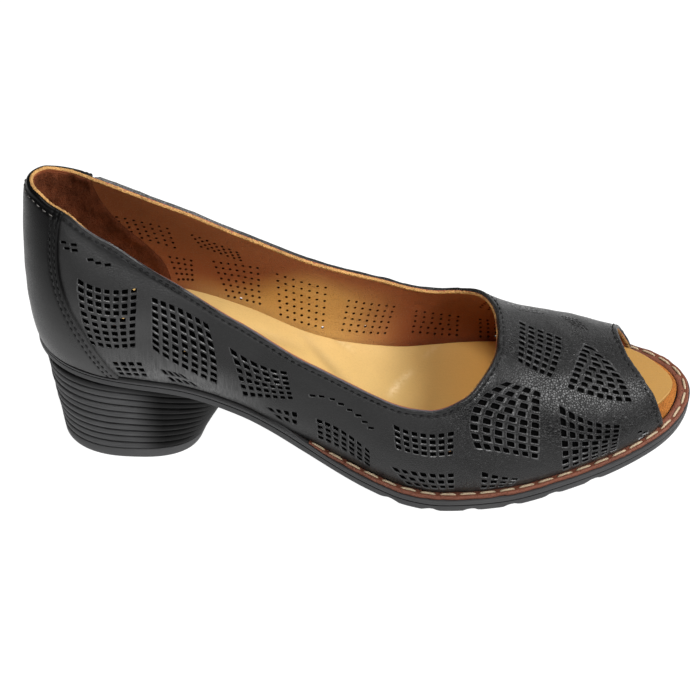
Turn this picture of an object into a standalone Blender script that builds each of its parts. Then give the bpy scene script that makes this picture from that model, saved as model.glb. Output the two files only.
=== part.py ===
"""Peep-toe court shoe on a block heel, right foot, built as its maker's separate pieces.

The toe points along +X, the outer (lateral) side of the foot lies towards -Y, and +Z is up. The
origin is on the floor under the middle of the heel. Units are metres.
"""
import bpy
import numpy as np

# Driving sizes of the last and the shoe
LAST_LENGTH = 0.2393        # feather line, back of the heel to the tip of the toe
BALL_WIDTH = 0.076          # feather line, across the ball of the foot
HEEL_RISE = 0.043           # floor to the sole's underside, at the very back
TOE_SPRING = 0.0125         # floor to the sole's underside, at the tip
INSTEP_HEIGHT = 0.046       # feather line to the vamp's crest, at the throat
BACK_HEIGHT = 0.0695        # feather line to the topline, at the very back
SIDE_BULGE = 0.0029         # how far the wall stands out over the feather line, where it does most
BULGE_AT = 0.25             # share of the wall's height where the bulge is widest
TIP_OFFSET = 0.006          # how far the toe's tip lies to the inner side of the heel's middle
HEEL_PIVOT = 0.031          # back of the heel to the upright axis that the heel's sections turn about
PIVOT_SOFTNESS = 0.010      # how gently the sections turn from fan to parallel, at HEEL_PIVOT
CREST_SHIFT = 0.0015        # how far the vamp's crest lies to the inner side of its middle

# Driving sizes of the upper and counter
WALL = 0.0018               # leather and lining together
COUNTER_THICKNESS = 0.0011
COUNTER_RISE = 0.0007       # how far the counter's top edge stands over the upper's

# Driving sizes of the sole
SOLE_THICKNESS = 0.0080     # underside to feather line, at the ball
FORE_MARGIN = 0.0029        # outsole beyond the feather line, at the forefoot
REAR_MARGIN = 0.0010        # outsole beyond the feather line, at the heel and waist
MARGIN_START = 0.085        # the margin grows between these, from the back of the last
MARGIN_END = 0.125
SIDE_GROOVE_DEPTH = 0.0007
LUG_PITCH = 0.0150
LUG_GAP = 0.0030
LUG_DEPTH = 0.0013
LUG_FIRST = 0.1300          # first gap between lugs, from the back of the last
LUG_GAPS = 6
WELT_THICKNESS = 0.0014
WELT_MARGIN = 0.0024        # welt beyond the feather line, at the forefoot
WELT_START = 0.100          # the welt's two ends, from the back of the last
WELT_RUN_IN = 0.020         # length over which the outsole's top drops to take the welt
WELT_EDGE = 0.0003          # rounding of the welt's outer top edge
BOARD_RISE = 0.0006         # midsole board's top over the feather line
INSOLE_THICKNESS = 0.0013
INSOLE_EDGE = 0.0004        # rounding of the insole's top edge
INSOLE_TOE_GAP = 0.0055     # bare board between the insole's front edge and the board's own
INSOLE_TOE_RUN = (0.90, 0.99)   # the insole draws in between these shares of LAST_LENGTH

# Driving sizes of the heel
HEEL_BASE_BACK = 0.0052     # back of the heel's base, from the back of the last
HEEL_BASE_LENGTH = 0.0540
HEEL_BASE_WIDTH = 0.0450
HEEL_SEAT_BACK = 0.0015     # back of the heel's top, from the back of the last
HEEL_SEAT_LENGTH = 0.0730
HEEL_SEAT_WIDTH = 0.0495
HEEL_MIDDLE = 0.033         # where the heel's round back turns into its sides
HEEL_SQUARE_BACK = 2.4      # 2 is an ellipse
HEEL_SQUARE_FRONT = 2.7
HEEL_GROOVES = 10
HEEL_GROOVE_DEPTH = 0.0008
HEEL_GROOVE_WIDTH = 0.0012
HEEL_GROOVE_FADE = (0.45, 0.85)     # grooves die away between these shares of the way to the front
TOP_LIFT_THICKNESS = 0.0047
TOP_LIFT_EDGE = 0.0004

# Clearances
MEETING_GAP = 0.0003        # between curved pieces that meet
WALL_GAP = 0.0005           # between the upper's inside and what lies in it

# Mesh fineness
COLLAR_COLUMNS = 30         # either side of the back
THROAT_CROWDING = 0.85      # how far those columns crowd towards the back and the throat
WALL_ROWS = 10
VAMP_COLUMNS = 14
COUNTER_COLUMNS = 20
SOLE_STATIONS = 44          # on each side of the sole
SOLE_CROWDING = 0.6
WELT_STATIONS = 73
HEEL_POINTS = 36
SMALL_STEP = 1e-4           # for slopes, in stations and radians

# Sections of the last, from the back of the heel to the tip of the toe. along is a share of
# LAST_LENGTH, lateral and medial are shares of BALL_WIDTH out from the middle, back and instep are
# the crest's height over the feather line as shares of BACK_HEIGHT and of INSTEP_HEIGHT, square_*
# is how square each half section is (2 is an ellipse), and bulge is a share of SIDE_BULGE.
SECTION_COLUMNS = (
    "along", "lateral", "medial", "back", "instep", "square_lateral", "square_medial", "bulge",
)
SECTIONS = (
    (0.000, 0.000, 0.000, 1.27, 0.00, 5.0, 5.0, 0.60),
    (0.015, 0.138, 0.138, 1.14, 0.00, 4.6, 4.6, 0.60),
    (0.054, 0.252, 0.248, 0.99, 0.00, 4.0, 4.2, 0.65),
    (0.116, 0.315, 0.308, 0.70, 0.27, 3.5, 3.8, 0.70),
    (0.208, 0.322, 0.318, 0.35, 0.65, 3.5, 3.6, 0.70),
    (0.312, 0.346, 0.296, 0.15, 0.94, 3.8, 3.8, 0.55),
    (0.416, 0.412, 0.288, 0.05, 1.18, 4.0, 4.0, 0.50),
    (0.520, 0.500, 0.360, 0.00, 1.27, 3.6, 3.6, 0.60),
    (0.615, 0.540, 0.448, 0.00, 1.17, 3.0, 3.0, 0.70),
    (0.715, 0.503, 0.482, 0.00, 0.90, 2.5, 2.5, 0.75),
    (0.802, 0.430, 0.478, 0.00, 0.69, 2.4, 2.4, 0.75),
    (0.873, 0.345, 0.438, 0.00, 0.53, 2.3, 2.3, 0.70),
    (0.931, 0.245, 0.366, 0.00, 0.42, 2.3, 2.3, 0.50),
    (0.977, 0.115, 0.250, 0.00, 0.30, 2.3, 2.3, 0.40),
)
TIP_SECTION = (1.000, 0.000, 0.000, 0.00, 0.26, 2.3, 2.3, 0.30)

# The sole's side view. rise is a share of HEEL_RISE, spring a share of TOE_SPRING, and thick a
# share of SOLE_THICKNESS, from the underside to the feather line.
BOTTOM_COLUMNS = ("along", "rise", "spring", "thick")
BOTTOM = (
    (0.00, 1.000, 0.00, 0.64),
    (0.10, 0.968, 0.00, 0.64),
    (0.21, 0.882, 0.00, 0.68),
    (0.31, 0.696, 0.00, 0.77),
    (0.41, 0.398, 0.00, 0.88),
    (0.51, 0.150, 0.00, 0.95),
    (0.57, 0.035, 0.00, 0.98),
    (0.62, 0.000, 0.00, 1.00),
    (0.71, 0.000, 0.00, 1.00),
    (0.83, 0.000, 0.33, 1.00),
    (0.93, 0.000, 0.68, 0.96),
    (1.02, 0.000, 1.03, 0.91),
)

# The topline on each side, as a share of the crest's height. The last row is the throat.
TOPLINE_COLUMNS = ("along", "lateral", "medial")
TOPLINE = (
    (0.000, 0.790, 0.790),
    (0.015, 0.866, 0.853),
    (0.054, 0.932, 0.893),
    (0.116, 0.934, 0.895),
    (0.208, 0.860, 0.860),
    (0.312, 0.725, 0.757),
    (0.416, 0.653, 0.712),
    (0.520, 0.654, 0.668),
    (0.595, 0.690, 0.610),
    (0.649, 0.800, 0.715),
    (0.682, 0.935, 0.890),
    (0.700, 1.000, 1.000),
)

# The peep opening's edge: where it crosses the feather line and the crest, as shares of
# LAST_LENGTH. around runs from -1 at the outer feather line over 0 at the crest to 1.
PEEP_EDGE = (
    (-1.00, 0.965), (-0.75, 0.958), (-0.50, 0.946), (-0.25, 0.924), (0.00, 0.902), (0.30, 0.893),
    (0.60, 0.901), (1.00, 0.928),
)

# The counter's front seam: each row is a share of the wall's height and how far along the last the
# counter reaches there, as a share of LAST_LENGTH
COUNTER_SEAM = ((0.00, 0.130), (0.25, 0.098), (0.60, 0.054), (1.00, 0.040))

# The sole's side from the underside up: height as a share of the outsole's own thickness, and inset
# as a share of SIDE_GROOVE_DEPTH
SOLE_SIDE = (
    (0.00, 1.20), (0.10, 0.10), (0.52, 0.00), (0.57, 1.00), (0.63, 1.00), (0.68, 0.00), (0.96, 0.00),
    (1.00, 0.50),
)

COLOURS = {
    "upper": ((0.016, 0.016, 0.017), 0.45),
    "counter": ((0.014, 0.014, 0.015), 0.38),
    "insole": ((0.50, 0.27, 0.10), 0.55),
    "midsole": ((0.30, 0.11, 0.035), 0.70),
    "welt": ((0.17, 0.055, 0.03), 0.60),
    "outsole": ((0.014, 0.014, 0.015), 0.60),
    "heel": ((0.018, 0.018, 0.019), 0.55),
    "top_lift": ((0.012, 0.012, 0.012), 0.70),
}


def smoothstep(value, start, end):
    share = np.clip((value - start) / (end - start), 0.0, 1.0)
    return share * share * (3.0 - 2.0 * share)


def table_curve(rows, columns, name):
    """Cubic curve through one named column that never overshoots its rows."""
    places = np.array([row[0] for row in rows], float)
    values = np.array([row[columns.index(name)] for row in rows], float)
    steps = np.diff(places)
    slopes = np.diff(values) / steps
    tangents = np.concatenate([slopes[:1], np.zeros(len(slopes) - 1), slopes[-1:]])
    for i in range(1, len(slopes)):
        if slopes[i - 1] * slopes[i] > 0.0:
            left = 2.0 * steps[i] + steps[i - 1]
            right = steps[i] + 2.0 * steps[i - 1]
            tangents[i] = (left + right) / (left / slopes[i - 1] + right / slopes[i])

    def curve(at):
        at = np.clip(at, places[0], places[-1])
        i = np.clip(np.searchsorted(places, at, side="right") - 1, 0, len(steps) - 1)
        t = (at - places[i]) / steps[i]
        rest = 1.0 - t
        return (
            values[i] * (1.0 + 2.0 * t) * rest**2
            + values[i + 1] * (3.0 - 2.0 * t) * t**2
            + steps[i] * (tangents[i] * t * rest**2 - tangents[i + 1] * t**2 * rest)
        )

    return curve


def closed_spline(knots, values, period):
    """Cubic spline through rows of values that closes on itself after one period."""
    count = len(knots)
    steps = np.diff(np.append(knots, knots[0] + period))
    slopes = (np.roll(values, -1, axis=0) - values) / steps[:, None]
    system = np.zeros((count, count))
    for i in range(count):
        system[i, i - 1] += steps[i - 1]
        system[i, i] += 2.0 * (steps[i - 1] + steps[i])
        system[i, (i + 1) % count] += steps[i]
    bends = np.linalg.solve(system, 6.0 * (slopes - np.roll(slopes, 1, axis=0)))

    def curve(at):
        at = np.mod(np.asarray(at, float) - knots[0], period) + knots[0]
        i = np.searchsorted(knots, at, side="right") - 1
        j = (i + 1) % count
        step = steps[i][..., None]
        right = (at - knots[i])[..., None] / step
        left = 1.0 - right
        bend = (left**3 - left) * bends[i] + (right**3 - right) * bends[j]
        return left * values[i] + right * values[j] + bend * step**2 / 6.0

    return curve


def build_last():
    """Spline round the feather line: 0 is the heel's back, 1 the toe's tip, minus is medial.

    Its columns are x, y, crest height, squareness and bulge.
    """
    rows = [dict(zip(SECTION_COLUMNS, row)) for row in SECTIONS + (TIP_SECTION,)]
    sides = []
    for side, sign in (("lateral", -1.0), ("medial", 1.0)):
        sides.append([
            (
                row["along"] * LAST_LENGTH,
                sign * row[side] * BALL_WIDTH,
                row["back"] * BACK_HEIGHT + row["instep"] * INSTEP_HEIGHT,
                row["square_" + side],
                row["bulge"] * SIDE_BULGE,
            )
            for row in rows
        ])
    lateral, medial = np.array(sides)
    lateral[-1, 1] = medial[-1, 1] = TIP_OFFSET
    lateral_steps = np.hypot(*np.diff(lateral[:, :2], axis=0).T)
    medial_steps = np.hypot(*np.diff(medial[:, :2], axis=0).T)
    knots = np.append(0.0, np.cumsum(lateral_steps + medial_steps))
    knots /= knots[-1]
    loop_knots = np.concatenate([knots, 2.0 - knots[-2:0:-1]])
    return closed_spline(loop_knots, np.concatenate([lateral, medial[-2:0:-1]]), 2.0)


LAST = build_last()
UNDERSIDE_RISE = table_curve(BOTTOM, BOTTOM_COLUMNS, "rise")
UNDERSIDE_SPRING = table_curve(BOTTOM, BOTTOM_COLUMNS, "spring")
SOLE_BUILD = table_curve(BOTTOM, BOTTOM_COLUMNS, "thick")
TOPLINE_LATERAL = table_curve(TOPLINE, TOPLINE_COLUMNS, "lateral")
TOPLINE_MEDIAL = table_curve(TOPLINE, TOPLINE_COLUMNS, "medial")
PEEP_REACH = table_curve(PEEP_EDGE, ("around", "along"), "along")
SEAM_REACH = table_curve(COUNTER_SEAM, ("up", "along"), "along")


def underside(x):
    along = x / LAST_LENGTH
    return UNDERSIDE_RISE(along) * HEEL_RISE + UNDERSIDE_SPRING(along) * TOE_SPRING


def feather_height(x):
    return underside(x) + SOLE_BUILD(x / LAST_LENGTH) * SOLE_THICKNESS


def outsole_top(x):
    """The outsole carries the upper directly behind the welt's ends, and the welt ahead of them."""
    welted = smoothstep(x, WELT_START - WELT_RUN_IN / 2, WELT_START + WELT_RUN_IN / 2)
    return feather_height(x) - MEETING_GAP - welted * (WELT_THICKNESS + MEETING_GAP)


def station_at(x):
    """Station on the lateral side, 0 to 1, where the feather line reaches this far forward."""
    stations = np.linspace(0.0, 1.0, 801)
    return np.interp(x, LAST(stations)[:, 0], stations)


def topline_angle(station):
    """Section angle at which the wall ends: the topline behind the throat, else the crest."""
    own = LAST(station)
    along = own[..., 0] / LAST_LENGTH
    share = np.where(station < 0.0, TOPLINE_MEDIAL(along), TOPLINE_LATERAL(along))
    square = own[..., 3]
    across = np.maximum(1.0 - share**square, 0.0) ** (1.0 / square)
    return np.arctan2(share, across)


def last_surface(station, angle):
    """Point of the upper's outside.

    Each section is half a superellipse from the feather line, at angle 0, to the crest, at a right
    angle, with a bulge a quarter of the way up. Sections turn about the heel's axis and then run parallel.
    """
    own = LAST(station)
    other = LAST(-station)
    foot = own[..., :2]
    x = foot[..., 0]
    past_pivot = x - HEEL_PIVOT
    crest = np.empty_like(foot)
    crest[..., 0] = HEEL_PIVOT + (past_pivot + np.sqrt(past_pivot**2 + PIVOT_SOFTNESS**2)) / 2
    throat = TOPLINE[-1][0] * LAST_LENGTH
    crest[..., 1] = (foot[..., 1] + other[..., 1]) / 2 + CREST_SHIFT * np.clip(x / throat, 0, 1)
    inward = crest - foot
    reach = np.linalg.norm(inward, axis=-1)
    square = own[..., 3]
    cosine = np.maximum(np.cos(angle), 0.0)
    sine = np.sin(angle)
    radius = (cosine**square + sine**square) ** (-1.0 / square)
    up = radius * sine
    bulge = own[..., 4] * up * (1.0 - up) ** 3 / (BULGE_AT * (1.0 - BULGE_AT) ** 3)
    travel = reach * (1.0 - radius * cosine) - bulge
    point = np.empty(foot.shape[:-1] + (3,))
    point[..., :2] = foot + inward * (travel / reach)[..., None]
    point[..., 2] = feather_height(x) + (own[..., 2] + other[..., 2]) / 2 * up
    return point


def lifted_surface(station, angle, lift):
    """The same surface, moved out along its normals."""
    step = SMALL_STEP
    inside = np.clip(angle, step, np.pi / 2 - step)
    along = last_surface(station + step, inside) - last_surface(station - step, inside)
    around = last_surface(station, inside + step) - last_surface(station, inside - step)
    normal = np.cross(along, around)
    normal /= np.linalg.norm(normal, axis=-1, keepdims=True)
    return last_surface(station, angle) + lift * normal


def outline(station, out):
    """The feather line in plan, moved outwards."""
    step = SMALL_STEP
    along = (LAST(station + step) - LAST(station - step))[..., :2]
    along /= np.linalg.norm(along, axis=-1, keepdims=True)
    normal = np.stack([along[..., 1], -along[..., 0]], axis=-1)
    return LAST(station)[..., :2] + np.asarray(out)[..., None] * normal


def eased(count, mix):
    """Shares from 0 to 1 that crowd towards both ends."""
    share = np.linspace(0.0, 1.0, count + 1)
    return (1.0 - mix) * share + mix * smoothstep(share, 0.0, 1.0)


def place(points):
    """Points measured from the back of the last, moved to the shoe's own origin."""
    heel_centre = HEEL_BASE_BACK + HEEL_BASE_LENGTH / 2
    return np.asarray(points) - (heel_centre, 0.0, 0.0)


def new_collection(name):
    collection = bpy.data.collections.new(name)
    bpy.context.scene.collection.children.link(collection)
    return collection


def make_material(name):
    colour, roughness = COLOURS[name]
    material = bpy.data.materials.new(name)
    material.use_nodes = True
    shader = material.node_tree.nodes["Principled BSDF"]
    shader.inputs["Base Color"].default_value = (*colour, 1.0)
    shader.inputs["Roughness"].default_value = roughness
    shader.inputs["Metallic"].default_value = 0.0
    return material


def make_object(name, points, faces, collection):
    mesh = bpy.data.meshes.new(name)
    mesh.from_pydata(place(points).tolist(), [], faces)
    mesh.validate()
    piece = bpy.data.objects.new(name, mesh)
    collection.objects.link(piece)
    mesh.materials.append(make_material(name))
    return piece


def grid_faces(index):
    """Quads of a grid of point numbers, facing the side that columns x rows points to."""
    corners = (index[:-1, :-1], index[1:, :-1], index[1:, 1:], index[:-1, 1:])
    quads = np.stack(corners, axis=-1).reshape(-1, 4)
    return [tuple(int(i) for i in quad) for quad in quads]


def add_wall(piece, thickness, offset):
    wall = piece.modifiers.new("wall", "SOLIDIFY")
    wall.thickness = thickness
    wall.offset = offset
    wall.use_even_offset = True
    wall.use_rim = True


def make_upper(collection):
    """Hollow upper: a band round the collar, and a vamp that closes over the crest."""
    throat_x = TOPLINE[-1][0] * LAST_LENGTH
    throat = station_at(throat_x)
    reach = eased(COLLAR_COLUMNS, THROAT_CROWDING) * throat
    stations = np.concatenate([-reach[:0:-1], reach])
    shares = np.linspace(0.0, 1.0, WALL_ROWS + 1)
    band_station, band_share = np.meshgrid(stations, shares, indexing="ij")
    band = last_surface(band_station, band_share * topline_angle(band_station))
    points = band.reshape(-1, 3)
    band_index = np.arange(len(points)).reshape(band.shape[:2])
    band_index[0, -1] = band_index[-1, -1]

    around = np.linspace(-1.0, 1.0, 2 * WALL_ROWS + 1)
    forward = np.linspace(0.0, 1.0, VAMP_COLUMNS + 1)[1:]
    edge = PEEP_REACH(around) * LAST_LENGTH
    vamp_x = throat_x + forward[:, None] * (edge - throat_x)
    side = np.where(around > 0.0, -1.0, 1.0)
    vamp_angle = np.broadcast_to((1.0 - np.abs(around)) * np.pi / 2, vamp_x.shape)
    vamp = last_surface(station_at(vamp_x) * side, vamp_angle)
    vamp_index = np.arange(vamp.shape[0] * vamp.shape[1]).reshape(vamp.shape[:2]) + len(points)
    throat_row = np.concatenate([band_index[-1, :], band_index[0, -2::-1]])
    vamp_index = np.concatenate([throat_row[None], vamp_index])
    points = np.concatenate([points, vamp.reshape(-1, 3)])

    upper = make_object("upper", points, grid_faces(band_index) + grid_faces(vamp_index), collection)
    add_wall(upper, WALL, -1.0)
    return upper


def make_counter(collection):
    """Back panel, cut between the upper's own form lifted a little and lifted more."""
    shares = np.linspace(0.0, 1.0, WALL_ROWS + 1)
    seam = station_at(SEAM_REACH(shares) * LAST_LENGTH)
    across = np.linspace(-1.0, 1.0, COUNTER_COLUMNS + 1)
    station = across[:, None] * seam
    share = np.broadcast_to(shares, station.shape)
    rise = COUNTER_RISE / BACK_HEIGHT
    angle = share * (topline_angle(station) + rise)
    points = lifted_surface(station, angle, MEETING_GAP)
    index = np.arange(station.size).reshape(station.shape)
    counter = make_object("counter", points.reshape(-1, 3), grid_faces(index), collection)
    add_wall(counter, COUNTER_THICKNESS, 1.0)
    return counter


def make_plate(name, rings, collection):
    """Solid from closed rings of matching points, lowest first, lateral side first."""
    rings = np.array(rings)
    count = rings.shape[1]
    index = np.arange(rings.shape[0] * count).reshape(rings.shape[:2])
    closed = np.concatenate([index, index[:, :1]], axis=1)
    faces = grid_faces(closed.T)
    half = count // 2
    for ring, upwards in ((index[0], False), (index[-1], True)):
        caps = [(0, 1, count - 1)]
        caps += [(j, j + 1, count - j - 1, count - j) for j in range(1, half - 1)]
        caps += [(half - 1, half, half + 1)]
        for cap in caps:
            face = tuple(int(ring[j]) for j in cap)
            faces.append(face if upwards else face[::-1])
    return make_object(name, rings.reshape(-1, 3), faces, collection)


def ring_stations():
    half = eased(SOLE_STATIONS, SOLE_CROWDING)
    return np.concatenate([half, -half[-2:0:-1]])


def ring(out, height):
    """Ring round the feather line moved out, at a height that is a function of x."""
    edge = outline(ring_stations(), out)
    return np.column_stack([edge, height(edge[:, 0])])


def sole_margin(x):
    grown = smoothstep(x, MARGIN_START, MARGIN_END)
    return REAR_MARGIN + (FORE_MARGIN - REAR_MARGIN) * grown


def make_outsole(collection, cutters):
    margin = sole_margin(LAST(ring_stations())[:, 0])
    rings = []
    for up, inset in SOLE_SIDE:
        def height(x, up=up):
            return underside(x) + up * (outsole_top(x) - underside(x))
        rings.append(ring(margin - inset * SIDE_GROOVE_DEPTH, height))
    outsole = make_plate("outsole", rings, collection)
    for number in range(LUG_GAPS):
        x = LUG_FIRST + number * LUG_PITCH
        top = float(underside(x)) + LUG_DEPTH
        bottom = -SOLE_THICKNESS
        bpy.ops.mesh.primitive_cube_add(size=1.0)
        cutter = bpy.context.object
        cutter.name = f"lug_gap_{number + 1}"
        cutter.scale = (LUG_GAP, 2 * BALL_WIDTH, top - bottom)
        cutter.location = place((x, 0.0, (top + bottom) / 2))
        for owner in list(cutter.users_collection):
            owner.objects.unlink(cutter)
        cutters.objects.link(cutter)
        cutter.display_type = "WIRE"
        cutter.hide_render = True
        cut = outsole.modifiers.new(cutter.name, "BOOLEAN")
        cut.operation = "DIFFERENCE"
        cut.solver = "EXACT"
        cut.object = cutter
    return outsole


def make_midsole(collection):
    out = -(WALL + WALL_GAP)
    rings = [
        ring(out, lambda x: outsole_top(x) + MEETING_GAP),
        ring(out, lambda x: feather_height(x) + BOARD_RISE),
    ]
    return make_plate("midsole", rings, collection)


def make_insole(collection):
    x = LAST(ring_stations())[:, 0] / LAST_LENGTH
    out = -(WALL + WALL_GAP) - INSOLE_TOE_GAP * smoothstep(x, *INSOLE_TOE_RUN)
    base = BOARD_RISE + MEETING_GAP
    rings = [
        ring(out, lambda x: feather_height(x) + base),
        ring(out, lambda x: feather_height(x) + base + INSOLE_THICKNESS - INSOLE_EDGE),
        ring(out - INSOLE_EDGE, lambda x: feather_height(x) + base + INSOLE_THICKNESS),
    ]
    return make_plate("insole", rings, collection)


def make_welt(collection):
    """Strip from the outer waist round the toe to the inner waist, under the upper's edge."""
    start = float(station_at(WELT_START))
    stations = start + (2.0 - 2.0 * start) * np.linspace(0.0, 1.0, WELT_STATIONS)
    profile = (
        (-WALL, 0.0), (WELT_MARGIN, 0.0), (WELT_MARGIN, -WELT_EDGE), (WELT_MARGIN - WELT_EDGE, 1.0),
        (-WALL, 1.0),
    )
    grown = sole_margin(LAST(stations)[:, 0]) / FORE_MARGIN
    rails = []
    for out, level in profile:
        edge = outline(stations, np.where(out > 0.0, out * grown, out))
        low = outsole_top(edge[:, 0]) + MEETING_GAP
        high = feather_height(edge[:, 0]) - MEETING_GAP
        height = low if level == 0.0 else high - WELT_EDGE * (level < 0.0)
        rails.append(np.column_stack([edge, height]))
    rails = np.array(rails)
    index = np.arange(rails.shape[0] * rails.shape[1]).reshape(rails.shape[:2])
    closed = np.concatenate([index, index[:1]])
    faces = grid_faces(closed.T)
    faces.append(tuple(int(i) for i in index[:, 0]))
    faces.append(tuple(int(i) for i in index[::-1, -1]))
    return make_object("welt", rails.reshape(-1, 3), faces, collection)


def heel_ring(share, inset, height):
    """One ring of the heel, D-shaped: share is 0 at the floor and 1 at the seat.

    inset pulls in the back and sides, and dies away towards the flat front.
    """
    turn = np.pi + 2.0 * np.pi * np.arange(HEEL_POINTS) / HEEL_POINTS
    cosine = np.cos(turn)
    sine = np.sin(turn)
    square = np.where(cosine < 0.0, HEEL_SQUARE_BACK, HEEL_SQUARE_FRONT)
    radius = (np.abs(cosine) ** square + np.abs(sine) ** square) ** (-1.0 / square)
    back = HEEL_BASE_BACK + share * (HEEL_SEAT_BACK - HEEL_BASE_BACK)
    base_front = HEEL_BASE_BACK + HEEL_BASE_LENGTH
    front = base_front + share * (HEEL_SEAT_BACK + HEEL_SEAT_LENGTH - base_front)
    half = (HEEL_BASE_WIDTH + share * (HEEL_SEAT_WIDTH - HEEL_BASE_WIDTH)) / 2
    forward = np.where(cosine < 0.0, HEEL_MIDDLE - back, front - HEEL_MIDDLE)
    depth = inset * (1.0 - smoothstep(radius * cosine, *HEEL_GROOVE_FADE))
    x = HEEL_MIDDLE + radius * cosine * forward - cosine * depth
    y = radius * sine * half - sine * depth
    return np.column_stack([x, y, height(x)])


def make_heel(collection):
    low = TOP_LIFT_THICKNESS + MEETING_GAP
    marks = [(0.0, 0.0)]
    groove = HEEL_GROOVE_WIDTH / (HEEL_RISE - low)
    for number in range(HEEL_GROOVES):
        middle = (number + 0.5) / HEEL_GROOVES
        marks += [(middle - groove / 2, 0.0), (middle, HEEL_GROOVE_DEPTH), (middle + groove / 2, 0.0)]
    marks.append((1.0, 0.0))
    rings = []
    for up, depth in marks:
        def height(x, up=up):
            return low + up * (underside(x) - MEETING_GAP - low)
        share = (low + up * (HEEL_RISE - low)) / HEEL_RISE
        rings.append(heel_ring(share, depth, height))
    return make_plate("heel", rings, collection)


def make_top_lift(collection):
    marks = ((0.0, TOP_LIFT_EDGE), (TOP_LIFT_EDGE, 0.0), (TOP_LIFT_THICKNESS, 0.0))
    rings = [heel_ring(z / HEEL_RISE, inset, lambda x, z=z: np.full_like(x, z)) for z, inset in marks]
    return make_plate("top_lift", rings, collection)


def main():
    for old in list(bpy.data.objects):
        bpy.data.objects.remove(old, do_unlink=True)
    shoe = new_collection("block_heel_shoe")
    cutters = new_collection("cutters")
    cutters.hide_render = True
    make_top_lift(shoe)
    make_heel(shoe)
    make_outsole(shoe, cutters)
    make_welt(shoe)
    make_midsole(shoe)
    make_insole(shoe)
    make_upper(shoe)
    make_counter(shoe)


main()
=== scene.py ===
"""Peep-toe court shoe on a block heel: leather, cut-outs, stitching and finishes over the part.

The toe points along +X, the outer side of the foot lies towards -Y, +Z is up, units are metres.
Every surface is worked out from the same last as the part: a point is named by its station, 0 at
the back of the heel to 1 at the tip of the toe, and by how far it lies around the section.
"""

import bpy
import numpy as np
from mathutils import Matrix


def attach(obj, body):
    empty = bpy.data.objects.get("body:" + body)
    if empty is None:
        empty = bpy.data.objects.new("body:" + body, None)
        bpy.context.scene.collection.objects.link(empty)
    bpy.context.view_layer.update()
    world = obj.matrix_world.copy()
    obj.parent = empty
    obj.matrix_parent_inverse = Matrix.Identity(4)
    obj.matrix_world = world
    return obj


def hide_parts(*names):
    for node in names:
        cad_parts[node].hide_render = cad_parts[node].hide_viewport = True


bl_info = {
    "name": "Block heel shoe",
    "version": (1, 0, 0),
    "blender": (4, 5, 0),
    "location": "3D View > Sidebar > Shoe",
    "description": "Builds the looks of a peep-toe block heel shoe over its packed part",
    "category": "Add Mesh",
}

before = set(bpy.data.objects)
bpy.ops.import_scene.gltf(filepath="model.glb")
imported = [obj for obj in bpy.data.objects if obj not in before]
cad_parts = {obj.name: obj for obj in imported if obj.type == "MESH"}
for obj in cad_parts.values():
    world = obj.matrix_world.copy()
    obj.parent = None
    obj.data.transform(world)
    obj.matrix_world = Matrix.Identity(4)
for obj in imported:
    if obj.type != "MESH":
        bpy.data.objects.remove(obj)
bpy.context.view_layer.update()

# Sizes of the last and the parts, the same as the part's own
LAST_LENGTH = 0.2393
BALL_WIDTH = 0.076
HEEL_RISE = 0.043
TOE_SPRING = 0.0125
INSTEP_HEIGHT = 0.046
BACK_HEIGHT = 0.0695
SIDE_BULGE = 0.0029
BULGE_AT = 0.25
TIP_OFFSET = 0.006
HEEL_PIVOT = 0.031
PIVOT_SOFTNESS = 0.010
CREST_SHIFT = 0.0015
WALL = 0.0018
COUNTER_THICKNESS = 0.0011
COUNTER_RISE = 0.0007
SOLE_THICKNESS = 0.0080
FORE_MARGIN = 0.0029
REAR_MARGIN = 0.0010
MARGIN_START = 0.085
MARGIN_END = 0.125
SIDE_GROOVE_DEPTH = 0.0007
LUG_PITCH = 0.0150
LUG_GAP = 0.0030
LUG_DEPTH = 0.0013
LUG_FIRST = 0.1300
LUG_GAPS = 6
WELT_THICKNESS = 0.0014
WELT_MARGIN = 0.0024
WELT_START = 0.100
WELT_RUN_IN = 0.020
BOARD_RISE = 0.0006
INSOLE_THICKNESS = 0.0013
HEEL_BASE_BACK = 0.0052
HEEL_BASE_LENGTH = 0.0540
HEEL_BASE_WIDTH = 0.0450
HEEL_SEAT_BACK = 0.0015
HEEL_SEAT_LENGTH = 0.0730
HEEL_SEAT_WIDTH = 0.0495
HEEL_MIDDLE = 0.033
HEEL_SQUARE_BACK = 2.4
HEEL_SQUARE_FRONT = 2.7
HEEL_GROOVES = 10
HEEL_GROOVE_FADE = (0.45, 0.85)
TOP_LIFT_THICKNESS = 0.0047
TOP_LIFT_EDGE = 0.0004
MEETING_GAP = 0.0003
WALL_GAP = 0.0005
SMALL_STEP = 1e-4

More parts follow.
